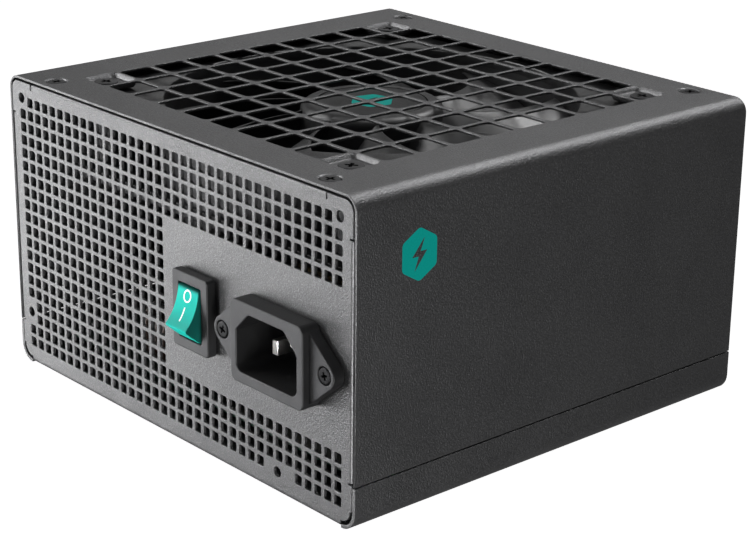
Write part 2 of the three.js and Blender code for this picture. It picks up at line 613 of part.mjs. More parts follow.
function addFan() {
  const labelRadius = HUB.radius - HUB.rim - GAP;
  addPart('fan_frame', fanFrame(), 'fanPlastic');
  addPart('fan_motor_seat', fanMotorSeat(), 'fanPlastic');
  addPart('fan_impeller', fanImpeller(), 'fanPlastic');
  addPart('fan_hub_label', rod(0, 0, labelRadius, [HUB_FLOOR + GAP, HUB.top], 16), 'label');
  addMotor();
  const headBase = CASE.height - POCKET.drop + GAP;
  forEachCorner(FAN_SCREW.spacing, FAN_SCREW.spacing, (x, y, i) => {
    addPart(`fan_screw_${i}`, screw(FAN_SCREW, x, y, headBase), 'blackScrew');
  });
}

// Rocker switch

function switchHousing() {
  const { x, z } = SWITCH;
  const bezelBack = REAR - GAP;
  const bezelFront = bezelBack - SWITCH.bezel;
  const bezelOutline = roundedRectangle(x, z, SWITCH.width, SWITCH.height, SWITCH.corner);
  const bezel = prismY(bezelOutline, bezelFront, bezelBack);
  const body = box(
    around(x, SWITCH_BODY.width / 2),
    [bezelBack - 1, SWITCH.back],
    around(z, SWITCH_BODY.height / 2),
  );
  const mouthX = around(x, SWITCH_MOUTH.width / 2);
  const mouthZ = around(z, SWITCH_MOUTH.height / 2);
  const mouth = box(mouthX, [bezelFront - 1, SWITCH_MOUTH.floor], mouthZ);
  const pinHole = prismX(circle(ROCKER.pivotY, z, ROCKER.pinHole), ...around(x, ROCKER.pinHoleLength / 2), 5);
  const slots = [0, TERMINAL.rise].map((rise) => {
    const slotX = around(x, TERMINAL.width / 2 + GAP);
    const slotZ = around(z + rise, TERMINAL.thickness / 2 + GAP);
    return box(slotX, [SWITCH_MOUTH.floor - 1, SWITCH.back + 1], slotZ);
  });
  return cut(joined(bezel, body), mouth, pinHole, ...slots);
}

// The rocker seen along its pivot, at rest: its upper half is pressed in and its lower half stands out.
function rockerOutline() {
  const y = ROCKER.pivotY;
  const z = SWITCH.z;
  const outline = new THREE.Shape();
  outline.moveTo(y - 2.2, z + 6.9);
  outline.quadraticCurveTo(y - 2.9, z + 0.5, y - 6.5, z - 2.7);
  outline.lineTo(y - 6.5, z - 3.3);
  outline.lineTo(y - 2, z - 7);
  outline.lineTo(y + 2.5, z - 6.6);
  outline.lineTo(y + 4.5, z - 4.5);
  outline.lineTo(y + 5.8, z);
  outline.lineTo(y + 4.5, z + 4.5);
  outline.lineTo(y + 2.5, z + 6.6);
  return outline;
}

function switchRocker() {
  const body = prismX(rockerOutline(), ...around(SWITCH.x, ROCKER.width / 2), 6);
  const pinOutline = circle(ROCKER.pivotY, SWITCH.z, ROCKER.pin);
  const pin = prismX(pinOutline, ...around(SWITCH.x, ROCKER.pinLength / 2), 5);
  return joined(body, pin);
}

function contactBar() {
  const bar = box(
    around(0, CONTACT.width / 2),
    around(0, CONTACT.thickness / 2),
    around(0, CONTACT.half),
  );
  return bar.rotateX(CONTACT.tilt * DEGREE).translate(SWITCH.x, CONTACT.pivotY, SWITCH.z);
}

function switchTerminal(tip, rise) {
  const x = around(SWITCH.x, TERMINAL.width / 2);
  return box(x, [tip, TERMINAL.end], around(SWITCH.z + rise, TERMINAL.thickness / 2));
}

function addSwitch() {
  const lineTip = CONTACT.pivotY + CONTACT.thickness / 2 + SEAM;
  const loadTip = lineTip + 0.7;
  addPart('switch_housing', switchHousing(), 'blackPlastic');
  addPart('switch_rocker', switchRocker(), 'tealPlastic');
  addPart('switch_contact_bar', contactBar(), 'nickel');
  addPart('switch_line_terminal', switchTerminal(lineTip, 0), 'nickel');
  addPart('switch_load_terminal', switchTerminal(loadTip, TERMINAL.rise), 'nickel');
}

// Mains inlet

// A round ear at each side, with straight edges that run tangent from the ears to the body's shoulders.
function inletFlangeOutline() {
  const { x, z, earHalf, earRadius } = INLET;
  const shoulderZ = INLET_BODY.height / 2;
  const toShoulder = new THREE.Vector2(INLET_BODY.shoulder - earHalf, shoulderZ);
  const tangent = toShoulder.angle() - Math.acos(earRadius / toShoulder.length());
  const outline = new THREE.Shape();
  outline.absarc(x + earHalf, z, earRadius, -tangent, tangent);
  outline.lineTo(x + INLET_BODY.shoulder, z + shoulderZ);
  outline.lineTo(x - INLET_BODY.shoulder, z + shoulderZ);
  outline.absarc(x - earHalf, z, earRadius, Math.PI - tangent, Math.PI + tangent);
  outline.lineTo(x - INLET_BODY.shoulder, z - shoulderZ);
  outline.lineTo(x + INLET_BODY.shoulder, z - shoulderZ);
  return outline;
}

function inletCavityOutline() {
  const { x, z } = INLET;
  const half = INLET_CAVITY.width / 2;
  const top = z + INLET_CAVITY.height / 2;
  const low = z - INLET_CAVITY.height / 2;
  const { chamfer, corner } = INLET_CAVITY;
  const outline = new THREE.Shape();
  outline.moveTo(x + half, top - chamfer);
  outline.lineTo(x + half - chamfer, top);
  outline.lineTo(x - half + chamfer, top);
  outline.lineTo(x - half, top - chamfer);
  outline.absarc(x - half + corner, low + corner, corner, 2 * QUARTER, 3 * QUARTER);
  outline.absarc(x + half - corner, low + corner, corner, 3 * QUARTER, 4 * QUARTER);
  return outline;
}

const INLET_PINS = [
  { name: 'inlet_earth_pin', x: INLET.x, z: INLET.z + PIN.earthRise },
  { name: 'inlet_line_pin', x: INLET.x - PIN.side, z: INLET.z - PIN.sideDrop },
  { name: 'inlet_neutral_pin', x: INLET.x + PIN.side, z: INLET.z - PIN.sideDrop },
];

// A screw with its axis along Y and its head towards the rear. headBase is the underside of the head.
function rearScrew(size, x, headBase, z) {
  return screw(size, 0, 0, 0).rotateX(QUARTER).translate(x, headBase, z);
}

function rearRod(x, z, radius, [low, high], segments) {
  return rod(0, 0, radius, [-high, -low], segments).rotateX(QUARTER).translate(x, 0, z);
}

function inletHousing() {
  const { x, z } = INLET;
  const body = roundedRectangle(x, z, INLET_BODY.width, INLET_BODY.height, INLET_BODY.corner);
  const neckX = around(x, INLET_BODY.neckWidth / 2);
  const neckZ = around(z, INLET_BODY.neckHeight / 2);
  const pinHoles = INLET_PINS.map((pin) => {
    const holeX = around(pin.x, PIN.width / 2 + GAP);
    return box(holeX, [INLET_CAVITY.floor - 1, INLET.back + 1], around(pin.z, PIN_TAB.height / 2 + GAP));
  });
  const screwHoles = [-1, 1].flatMap((side) => {
    const holeX = x + side * INLET.earHalf;
    const sink = [INLET.front, INLET_FLANGE_FRONT + INLET_SCREW.headHeight + GAP];
    return [
      rearRod(holeX, z, INLET_SCREW.head + GAP, sink, 12),
      rearRod(holeX, z, INLET_SCREW.hole, [INLET.front, REAR + 1], 8),
    ];
  });
  const block = joined(
    prismY(inletFlangeOutline(), INLET_FLANGE_FRONT, REAR - GAP, 6),
    prismY(body, INLET.front, REAR - GAP),
    box(neckX, [REAR - 1, INLET.back], neckZ),
  );
  const cavity = prismY(inletCavityOutline(), INLET.front - 1, INLET_CAVITY.floor);
  return cut(block, cavity, ...pinHoles, ...screwHoles);
}

function inletPin({ x, z }) {
  return joined(
    box(around(x, PIN.width / 2), [PIN.tip, PIN.shoulder], around(z, PIN.height / 2)),
    box(around(x, PIN_TAB.width / 2), [PIN.shoulder - 1, PIN_TAB.end], around(z, PIN_TAB.height / 2)),
  );
}

function addInlet() {
  addPart('inlet_housing', inletHousing(), 'blackPlastic');
  INLET_PINS.forEach((pin) => addPart(pin.name, inletPin(pin), 'nickel'));
  const headBase = INLET_FLANGE_FRONT + INLET_SCREW.headHeight;
  [-1, 1].forEach((side, i) => {
    const x = INLET.x + side * INLET.earHalf;
    addPart(`inlet_screw_${i + 1}`, rearScrew(INLET_SCREW, x, headBase, INLET.z), 'blackScrew');
  });
}

// Mains wires, each along one smooth curve

const WIRES = [
  {
    name: 'line_wire',
    finish: 'brownWire',
    route: [
      [40.8, -49.6, 38.4],
      [40.2, -45, 38.2],
      [28, -42, 38.8],
      [14.8, -42.6, 40.2],
      [13.3, -47.2, 40.4],
    ],
  },
  {
    name: 'switched_wire',
    finish: 'brownWire',
    route: [
      [13.3, -47.2, 45.4],
      [12.6, -43, 45],
      [5.6, -43.5, 36],
      [4, -46, 20],
      [4, -46, 10.3],
    ],
  },
  {
    name: 'neutral_wire',
    finish: 'blueWire',
    route: [
      [54.8, -49.6, 38.4],
      [55.4, -46, 36],
      [56.6, -45, 22],
      [57, -46, 10.3],
    ],
  },
  {
    name: 'earth_wire',
    finish: 'greenWire',
    route: [
      [47.8, -49.6, 42.4],
      [50, -45.6, 43.4],
      [64, -46, 38],
      [69.4, -50, 22],
      [69.5, -51, 1.7],
    ],
  },
];

function wire(route) {
  const curve = new THREE.CatmullRomCurve3(route.map((point) => new THREE.Vector3(...point)));
  const section = circle(0, 0, WIRE_RADIUS);
  return new THREE.ExtrudeGeometry(section, { steps: 8, curveSegments: 4, extrudePath: curve });
}

// Main board and what stands on it

function mainBoard() {
  const { halfX, rear, front, low, high } = BOARD;
  const holes = boardPostPlaces((x, y) => circle(x, y, BOARD_SCREW_HOLE));
  const outline = rectangle(0, (rear + front) / 2, 2 * halfX, front - rear);
  return prismZ(withHoles(outline, ...holes), low, high, 4);
}

function insulationSheet() {
  const holes = boardPostPlaces((x, y) => circle(x, y, BOARD_POST.radius + SEAM));
  const { rear, front, halfX } = BOARD;
  const grow = 2 * INSULATION.margin;
  const outline = rectangle(0, (rear + front) / 2, 2 * halfX + grow, front - rear + grow);
  return prismZ(withHoles(outline, ...holes), INSULATION.low, INSULATION.high, 4);
}

// A ferrite core as a square frame, with its winding inside and showing at both ends.
function woundCore({ x, y, width, depth, height }) {
  const core = box(
    around(x, width / 2),
    around(y, (depth * WINDING.coreDepth) / 2),
    [BOARD_TOP, BOARD_TOP + height],
  );
  const section = roundedRectangle(y, BOARD_TOP + height / 2, depth, height * WINDING.height, WINDING.corner);
  return joined(core, prismX(section, ...around(x, (width * WINDING.width) / 2)));
}

function toroid({ x, y, radius, bore, height }) {
  const [low, high] = [BOARD_TOP, BOARD_TOP + height];
  const profile = [
    [bore, low + TOROID_BEVEL],
    [bore + TOROID_BEVEL, low],
    [radius - TOROID_BEVEL, low],
    [radius, low + TOROID_BEVEL],
    [radius, high - TOROID_BEVEL],
    [radius - TOROID_BEVEL, high],
    [bore + TOROID_BEVEL, high],
    [bore, high - TOROID_BEVEL],
    [bore, low + TOROID_BEVEL],
  ];
  return turned(profile, x, y, 14);
}

function capacitor({ x, y, radius, height }) {
  const top = BOARD_TOP + height;
  const grooveMiddle = (CAN.grooveLow + CAN.grooveHigh) / 2;
  const profile = [
    [0, BOARD_TOP],
    [radius - CAN.edge, BOARD_TOP],
    [radius, BOARD_TOP + CAN.edge],
    [radius, BOARD_TOP + CAN.grooveLow],
    [radius - CAN.grooveDepth, BOARD_TOP + grooveMiddle],
    [radius, BOARD_TOP + CAN.grooveHigh],
    [radius, top - CAN.edge],
    [radius - CAN.edge, top],
    [0, top],
  ];
  return turned(profile, x, y, 14);
}

// A wall along Y with fins on the side that fin points to.
function heatsink({ wallX, rear, front, height, fin, fins }) {
  const span = [BOARD_TOP, BOARD_TOP + height];
  const wall = box(around(wallX, FIN.wall / 2), [rear, front], span);
  const step = (front - rear - FIN.thickness) / (fins - 1);
  const reach = [wallX, wallX + fin].sort((a, b) => a - b);
  const blades = Array.from({ length: fins }, (_, i) => {
    return box(reach, around(rear + FIN.thickness / 2 + i * step, FIN.thickness / 2), span);
  });
  return joined(wall, ...blades);
}

function bridgeRectifier() {
  const { x, rear, front, low, high } = BRIDGE;
  const body = box(around(x, BRIDGE.thickness / 2), [rear, front], [BOARD_TOP + low, BOARD_TOP + high]);
  const legs = BRIDGE_LEGS.places.map((y) => {
    return box(
      around(x, BRIDGE_LEGS.thickness / 2),
      around(y, BRIDGE_LEGS.width / 2),
      [BOARD_TOP, BOARD_TOP + low + SHEET],
    );
  });
  return joined(body, ...legs);
}

function filmCapacitor({ x, y, width, depth, height, corner }) {
  return prismZ(roundedRectangle(x, y, width, depth, corner), BOARD_TOP, BOARD_TOP + height);
}

function addBoard() {
  addPart('main_board', mainBoard(), 'circuitBoard');
  addPart('insulation_sheet', insulationSheet(), 'insulation');
  addPart('common_mode_choke', toroid(COMMON_MODE_CHOKE), 'copper');
  addPart('x_capacitor', filmCapacitor(X_CAPACITOR), 'yellowFilm');
  addPart('bridge_rectifier', bridgeRectifier(), 'ferrite');
  addPart('pfc_inductor', woundCore(PFC_INDUCTOR), 'ferrite');
  addPart('bulk_capacitor', capacitor(BULK_CAPACITOR), 'capacitorSleeve');
  addPart('primary_heatsink', heatsink(PRIMARY_HEATSINK), 'aluminium');
  addPart('main_transformer', woundCore(MAIN_TRANSFORMER), 'ferrite');
  addPart('standby_transformer', woundCore(STANDBY_TRANSFORMER), 'ferrite');
  addPart('secondary_heatsink', heatsink(SECONDARY_HEATSINK), 'aluminium');
  addPart('output_inductor', toroid(OUTPUT_INDUCTOR), 'copper');
  addPart('output_capacitor', capacitor(OUTPUT_CAPACITOR), 'capacitorSleeve');
}

// Output sockets behind the front panel

function socketShell({ columns, x, z }) {
  const { width, height } = socketSize(columns);
  const rim = 2 * SOCKET.rim;
  const shell = box(around(x, width / 2), [SOCKET.rear, FRONT], around(z, height / 2));
  const mouthX = around(x, (width - rim) / 2);
  return cut(joined(shell), box(mouthX, [SOCKET.floor, FRONT + 1], around(z, (height - rim) / 2)));
}

function addSockets() {
  const { halfX, rear, front, low, high } = SOCKET_BOARD;
  addPart('socket_board', box([-halfX, halfX], [rear, front], [low, high]), 'circuitBoard');
  SOCKETS.forEach((socket) => addPart(socket.name, socketShell(socket), 'blackPlastic'));
}

addCase();
addFan();
addSwitch();
addInlet();
addBoard();
addSockets();
WIRES.forEach(({ name, finish, route }) => addPart(name, wire(route), finish));

export default unit;
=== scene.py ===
import json
import math
import random

import bmesh
import bpy
from mathutils import Matrix, Vector


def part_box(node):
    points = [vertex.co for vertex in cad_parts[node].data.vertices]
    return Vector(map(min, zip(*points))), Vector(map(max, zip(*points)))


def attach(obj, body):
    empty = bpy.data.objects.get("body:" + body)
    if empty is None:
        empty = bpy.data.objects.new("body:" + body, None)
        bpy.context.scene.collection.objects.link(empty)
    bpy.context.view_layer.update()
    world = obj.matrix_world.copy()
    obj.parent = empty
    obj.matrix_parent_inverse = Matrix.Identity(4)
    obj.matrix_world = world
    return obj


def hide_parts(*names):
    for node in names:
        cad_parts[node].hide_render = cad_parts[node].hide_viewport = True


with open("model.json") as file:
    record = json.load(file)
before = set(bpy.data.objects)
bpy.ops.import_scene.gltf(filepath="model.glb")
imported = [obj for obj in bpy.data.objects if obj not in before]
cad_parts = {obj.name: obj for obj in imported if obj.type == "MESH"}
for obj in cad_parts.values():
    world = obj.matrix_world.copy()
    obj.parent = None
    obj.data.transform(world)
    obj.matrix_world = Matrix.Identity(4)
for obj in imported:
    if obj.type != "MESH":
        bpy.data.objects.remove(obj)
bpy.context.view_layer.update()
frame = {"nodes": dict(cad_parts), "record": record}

# Sizes are in millimetres in the case's own frame, and each finished mesh is scaled to metres. The rear
# panel faces -Y, +X is to the right seen from the rear, and the case stands on Z = 0.

MM = 0.001
QUARTER = math.pi / 2

# Points closer together than this, in millimetres, count as one.
SAME_PLACE = 1e-4

# Turns a drawing's X to Y and its Y to Z, so that it is seen from the right.
SIDEWAYS = Matrix(((0, 0, 1), (1, 0, 0), (0, 1, 0))).to_4x4()


def cad_box(node):
    """The lowest and highest corner of a CAD node, in millimetres."""
    low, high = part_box(node)
    return low / MM, high / MM


def node_centre(node):
    low, high = cad_box(node)
    return (low + high) / 2


COVER_LOW = cad_box("cover_left_side")[0]
COVER_HIGH = cad_box("cover_right_side")[1]
PANEL_HIGH = cad_box("rear_panel")[1]
BASE_HIGH = cad_box("base_shell")[1]
HALF_WIDTH = COVER_HIGH.x
REAR, FRONT = COVER_LOW.y, COVER_HIGH.y
TOP = COVER_HIGH.z
COVER_EDGE = COVER_LOW.z
PANEL_HALF = PANEL_HIGH.x
PANEL_TOP = PANEL_HIGH.z
LIP_TOP = BASE_HIGH.z
SHEET = 1.0
COVER_SHEET = 0.7
SWITCH_BODY = (13, 19.2)
INLET_NECK = (27, 20)
COVER_RADIUS = 4.0
BASE_RADIUS = 5.0


# ---------------------------------------------------------------- camera, light and floor

CAMERA = {"target": (2.03, 0, 32.34), "azimuth": 48.63, "elevation": 19.624, "roll": 0.634}
CAMERA_DISTANCE = 581.6
CAMERA_LENS = 98.14


def make_camera():
    azimuth, elevation, roll = (math.radians(CAMERA[k]) for k in ("azimuth", "elevation", "roll"))
    back = Vector((
        math.sin(azimuth) * math.cos(elevation),
        -math.cos(azimuth) * math.cos(elevation),
        math.sin(elevation),
    ))
    right = Vector((math.cos(azimuth), math.sin(azimuth), 0))
    up = back.cross(right)
    rolled_right = right * math.cos(roll) + up * math.sin(roll)
    rolled_up = up * math.cos(roll) - right * math.sin(roll)
    data = bpy.data.cameras.new("camera")
    data.lens = CAMERA_LENS
    data.sensor_width = 36
    data.clip_start = 0.01
    camera = bpy.data.objects.new("camera", data)
    place = Matrix((rolled_right, rolled_up, back)).transposed().to_4x4()
    place.translation = (Vector(CAMERA["target"]) + back * CAMERA_DISTANCE) * MM
    camera.matrix_world = place
    bpy.context.scene.collection.objects.link(camera)
    bpy.context.scene.camera = camera


def area_light(name, place, target, size, power, glossy=True):
    """A light that is either seen in reflections or lights surfaces, and never does both."""
    data = bpy.data.lights.new(name, "AREA")
    data.shape = "RECTANGLE"
    data.size, data.size_y = size
    data.energy = power
    light = bpy.data.objects.new(name, data)
    light.location = Vector(place)
    light.rotation_euler = (Vector(target) - light.location).to_track_quat("-Z", "Y").to_euler()
    light.visible_diffuse = not glossy
    light.visible_glossy = glossy
    bpy.context.scene.collection.objects.link(light)


def make_lights():
    rear, roof = (0, -0.07, 0.05), (0, 0, 0.08)
    area_light("key", (-0.78, -0.72, -0.13), rear, (0.5, 0.25), 30.0, glossy=False)
    area_light("sheen", (-0.6, -0.36, -0.12), rear, (0.4, 0.25), 3.0)
    area_light("back", (-0.62, 0.48, 0.4), (0.05, -0.05, 0.08), (0.4, 0.3), 0.3)
    area_light("edge", (0.06, 0.67, 0.94), (0.07, 0, 0.08), (0.6, 0.3), 15.0)
    area_light("above", (0.05, -0.1, 1.0), roof, (0.3, 0.3), 3.0)
    area_light("crest", (-0.72, -0.48, 0.58), roof, (0.45, 0.6), 18.0)
    area_light("inlet", (-0.28, -0.9, -0.03), (0.03, -0.07, 0.04), (0.25, 0.25), 5.0)
    area_light("side", (0.85, -0.5, -0.4), (0.07, -0.07, 0.05), (0.15, 0.6), 34.0)


def make_world():
    world = bpy.data.worlds.new("studio")
    world.use_nodes = True
    background = world.node_tree.nodes["Background"]
    background.inputs["Color"].default_value = (1, 1, 1, 1)
    background.inputs["Strength"].default_value = 0.16
    bpy.context.scene.world = world
    bpy.context.scene.view_settings.view_transform = "Standard"


def make_floor(finish):
    """A pale floor that doesn't throw its light back at the case."""
    mesh = bpy.data.meshes.new("floor")
    reach = 6
    corners = [(-reach, -reach, 0), (reach, -reach, 0), (reach, reach, 0), (-reach, reach, 0)]
    mesh.from_pydata(corners, [], [(0, 1, 2, 3)])
    floor = bpy.data.objects.new("floor", mesh)
    floor.location.z = -0.0002
    floor.visible_diffuse = False
    floor.visible_glossy = False
    floor.visible_shadow = False
    mesh.materials.append(finish)
    bpy.context.scene.collection.objects.link(floor)


# ---------------------------------------------------------------- materials

# Parts of a noise's range: a narrow one for soft clouds, a wider one for fine grain.
NOISE_MIDDLE = (0.35, 0.65)
NOISE_BODY = (0.3, 0.7)

# The wave texture multiplies places by this before it takes their sine.
WAVE_BANDS = 20


class Nodes:
    """A material's node tree, with short ways to add the nodes that the finishes here share."""

    def __init__(self, name):
        self.material = bpy.data.materials.new(name)
        self.material.use_nodes = True
        self.tree = self.material.node_tree
        self.shader = self.tree.nodes["Principled BSDF"]
        self.place = self.tree.nodes.new("ShaderNodeTexCoord").outputs["Object"]

    def set(self, **values):
        for name, value in values.items():
            self.shader.inputs[name.replace("_", " ")].default_value = value

    def link(self, output, socket):
        self.tree.links.new(output, self.shader.inputs[socket])

    def noise(self, size_mm, detail=2.0, roughness=0.5, stretch=(1, 1, 1)):
        """A noise whose features are about size_mm across."""
        mapping = self.tree.nodes.new("ShaderNodeMapping")
        mapping.inputs["Scale"].default_value = stretch
        self.tree.links.new(self.place, mapping.inputs["Vector"])
        node = self.tree.nodes.new("ShaderNodeTexNoise")
        node.inputs["Scale"].default_value = 1 / (size_mm * MM)
        node.inputs["Detail"].default_value = detail
        node.inputs["Roughness"].default_value = roughness
        self.tree.links.new(mapping.outputs["Vector"], node.inputs["Vector"])
        return node.outputs["Fac"]

    def cell_edges(self, size_mm):
        """How far a point is from the edge of its cell."""
        node = self.tree.nodes.new("ShaderNodeTexVoronoi")
        node.feature = "DISTANCE_TO_EDGE"
        node.inputs["Scale"].default_value = 1 / (size_mm * MM)
        self.tree.links.new(self.place, node.inputs["Vector"])
        return node.outputs["Distance"]

    def spread(self, value, from_range, to_range=(0, 1)):
        """value, stretched from one range of numbers to another and kept inside it."""
        node = self.tree.nodes.new("ShaderNodeMapRange")
        for name, number in zip(("From Min", "From Max", "To Min", "To Max"), (*from_range, *to_range)):
            node.inputs[name].default_value = number
        self.tree.links.new(value, node.inputs["Value"])
        return node.outputs["Result"]

    def mix(self, share, first, second):
        node = self.tree.nodes.new("ShaderNodeMix")
        node.data_type = "RGBA"
        for socket, colour in ((node.inputs["A"], first), (node.inputs["B"], second)):
            if isinstance(colour, tuple):
                socket.default_value = (*colour, 1)
            else:
                self.tree.links.new(colour, socket)
        self.tree.links.new(share, node.inputs["Factor"])
        return node.outputs["Result"]

    def bump(self, height, depth_mm, strength=1.0, under=None):
        node = self.tree.nodes.new("ShaderNodeBump")
        node.inputs["Distance"].default_value = depth_mm * MM
        node.inputs["Strength"].default_value = strength
        self.tree.links.new(height, node.inputs["Height"])
        if under is not None:
            self.tree.links.new(under, node.inputs["Normal"])
        return node.outputs["Normal"]

    def cloudy_colour(self, noise, first, second):
        """A base colour that drifts between two colours."""
        self.link(self.mix(self.spread(noise, NOISE_MIDDLE), first, second), "Base Color")

    def uneven_roughness(self, noise, low, high):
        self.link(self.spread(noise, NOISE_BODY, (low, high)), "Roughness")


def scaled(colour, factor):
    return tuple(channel * factor for channel in colour)


def coated_steel(name, dark, light):
    """Charcoal powder coat: a fine orange-peel grain over faint cloudy variation, with light specks."""
    nodes = Nodes(name)
    grain = nodes.noise(0.48, 3, 0.6)
    cloud = nodes.noise(22, 3)
    specks = nodes.spread(nodes.noise(0.3, 1), (0.56, 0.74))
    base = nodes.mix(nodes.spread(cloud, NOISE_MIDDLE), dark, light)
    nodes.link(nodes.mix(specks, base, scaled(light, 1.9)), "Base Color")
    nodes.uneven_roughness(grain, 0.36, 0.54)
    nodes.set(Metallic=0.55, Specular_IOR_Level=0.5)
    nodes.link(nodes.bump(grain, 0.17, 1.0, nodes.bump(cloud, 0.08, 0.4)), "Normal")
    return nodes.material


def moulded_plastic(name, colour, roughness, grain_mm, depth_mm, shine):
    """Moulded plastic with a fine spark-eroded texture and slightly uneven colour."""
    nodes = Nodes(name)
    grain = nodes.noise(grain_mm, 2)
    lighter = tuple(channel * 1.25 + 0.002 for channel in colour)
    nodes.cloudy_colour(nodes.noise(9, 3), colour, lighter)
    nodes.uneven_roughness(grain, roughness - 0.06, roughness + 0.06)
    nodes.link(nodes.bump(grain, depth_mm, 0.6), "Normal")
    nodes.set(Specular_IOR_Level=shine)
    return nodes.material


def brushed_metal(name, colour, roughness, stretch=(1, 1, 0.04)):
    """Metal with fine scratches along one direction."""
    nodes = Nodes(name)
    scratch = nodes.noise(0.12, 2, 0.6, stretch)
    nodes.cloudy_colour(nodes.noise(4, 2), scaled(colour, 0.78), colour)
    nodes.uneven_roughness(scratch, roughness - 0.07, roughness + 0.09)
    nodes.set(Metallic=1.0)
    nodes.link(nodes.bump(scratch, 0.006, 0.5), "Normal")
    return nodes.material


def ink_with_painted_glow(name, colour):
    """A flat coat of ink with a painted glow: it emits a little light of its own colour, so that it keeps
    its colour in the shade.
    """
    nodes = Nodes(name)
    mottle = nodes.noise(0.5, 2)
    nodes.cloudy_colour(mottle, scaled(colour, 0.86), colour)
    nodes.uneven_roughness(mottle, 0.42, 0.55)
    nodes.link(nodes.bump(mottle, 0.01, 0.4), "Normal")
    # Painted glow: the emission makes the ink shine with its own colour, though it is no lamp.
    nodes.set(Specular_IOR_Level=0.05, Emission_Strength=0.3, Emission_Color=(*colour, 1))
    return nodes.material


def circuit_board(name):
    """Green solder mask with lighter tracks showing through it."""
    nodes = Nodes(name)
    weave = nodes.noise(0.6, 2)
    tracks = nodes.spread(nodes.cell_edges(5), (0.04, 0.1), (1, 0))
    nodes.link(nodes.mix(tracks, (0.003, 0.014, 0.008), (0.006, 0.024, 0.014)), "Base Color")
    nodes.uneven_roughness(weave, 0.3, 0.45)
    nodes.link(nodes.bump(tracks, 0.03, 0.5, nodes.bump(weave, 0.01, 0.4)), "Normal")
    return nodes.material


def copper_winding(name, colour, wire_mm):
    """Enamelled wire laid side by side."""
    nodes = Nodes(name)
    wave = nodes.tree.nodes.new("ShaderNodeTexWave")
    wave.inputs["Scale"].default_value = 1 / (wire_mm * MM) / WAVE_BANDS
    wave.inputs["Distortion"].default_value = 0.6
    nodes.tree.links.new(nodes.place, wave.inputs["Vector"])
    wires = wave.outputs["Fac"]
    nodes.link(nodes.mix(wires, scaled(colour, 0.4), colour), "Base Color")
    nodes.uneven_roughness(nodes.noise(0.6), 0.28, 0.42)
    nodes.set(Metallic=0.6, Coat_Weight=0.5)
    nodes.link(nodes.bump(wires, 0.3, 0.8), "Normal")
    return nodes.material


def paper_floor(name):
    nodes = Nodes(name)
    nodes.link(nodes.mix(nodes.noise(3, 4), (0.9, 0.9, 0.9), (0.94, 0.94, 0.94)), "Base Color")
    nodes.set(Roughness=0.9, Specular_IOR_Level=0.1, Emission_Strength=0.93, Emission_Color=(1, 1, 1, 1))
    return nodes.material

# Each row: colour, roughness, size of the grain and its depth in millimetres, shine.
PLASTICS = {
    "black_plastic": ((0.034, 0.034, 0.036), 0.52, 0.25, 0.012, 0.14),
    "fan_plastic": ((0.022, 0.022, 0.024), 0.44, 0.6, 0.0015, 0.35),
    "teal_plastic": ((0.006, 0.36, 0.3), 0.55, 0.4, 0.003, 0.05),
    "insulation": ((0.02, 0.019, 0.018), 0.5, 1.2, 0.01, 0.3),
    "capacitor_sleeve": ((0.012, 0.012, 0.017), 0.28, 0.8, 0.01, 0.3),
    "ferrite": ((0.04, 0.038, 0.044), 0.62, 0.4, 0.03, 0.3),
    "yellow_film": ((0.02, 0.014, 0.004), 0.5, 0.8, 0.01, 0.1),
    "hub_label": ((0.02, 0.02, 0.022), 0.5, 0.3, 0.006, 0.2),
    "wire_brown": ((0.11, 0.04, 0.018), 0.45, 0.5, 0.01, 0.3),
    "wire_blue": ((0.015, 0.07, 0.3), 0.45, 0.5, 0.01, 0.3),
    "wire_green": ((0.03, 0.2, 0.04), 0.45, 0.5, 0.01, 0.3),
}

# Each row: colour, roughness and, where it isn't the usual one, how the scratches are stretched.
METALS = {
    "black_screw": ((0.014, 0.014, 0.015), 0.45, (1, 1, 1)),
    "bare_steel": ((0.55, 0.55, 0.56), 0.3),
    "nickel": ((0.8, 0.79, 0.76), 0.36, (1, 0.05, 1)),
    "bronze": ((0.4, 0.26, 0.12), 0.35),
    "aluminium": ((0.2, 0.2, 0.205), 0.4),
}


FINISHES = {
    **{name: moulded_plastic(name, *look) for name, look in PLASTICS.items()},
    **{name: brushed_metal(name, *look) for name, look in METALS.items()},
    "coated_steel": coated_steel("powder_coat", (0.056, 0.056, 0.058), (0.068, 0.068, 0.07)),
    "circuit_board": circuit_board("circuit_board"),
    "copper_winding": copper_winding("copper_winding", (0.02, 0.007, 0.003), 1.1),
    # Both inks carry a painted glow from their emission.
    "teal_ink": ink_with_painted_glow("teal_ink", (0.002, 0.5, 0.43)),
    "white_ink": ink_with_painted_glow("white_ink", (0.82, 0.84, 0.84)),
}


def finish_cad_nodes():
    """Every CAD node that still shows gets the finish of its own material slot."""
    for row in frame["record"]["subparts"]:
        node = frame["nodes"][row["node"]]
        node.data.materials.clear()
        node.data.materials.append(FINISHES[row["material_slot"]])


# ---------------------------------------------------------------- mesh tools


def place_piece(name, mesh, finish, body="case", replaces=()):
    """Turns a mesh in millimetres into a finished piece that rides on a body, and hides the CAD nodes that
    it replaces."""
    mesh.transform(Matrix.Scale(MM, 4))
    mesh.materials.clear()
    mesh.materials.append(FINISHES[finish])
    piece = bpy.data.objects.new(name, mesh)
    bpy.context.scene.collection.objects.link(piece)
    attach(piece, body)
    if replaces:
        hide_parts(*replaces)


def mesh_of(bm, name):
    mesh = bpy.data.meshes.new(name)
    bm.to_mesh(mesh)
    bm.free()
    mesh.update()
    return mesh


def evaluated_mesh(thing, name):
    """The mesh of an object with its modifiers applied. The object itself is removed."""
    depsgraph = bpy.context.evaluated_depsgraph_get()
    mesh = bpy.data.meshes.new_from_object(thing.evaluated_get(depsgraph))
    mesh.name = name
    bpy.data.objects.remove(thing)
    return mesh


def scratch_object(data):
    thing = bpy.data.objects.new("scratch", data)
    bpy.context.scene.collection.objects.link(thing)
    return thing


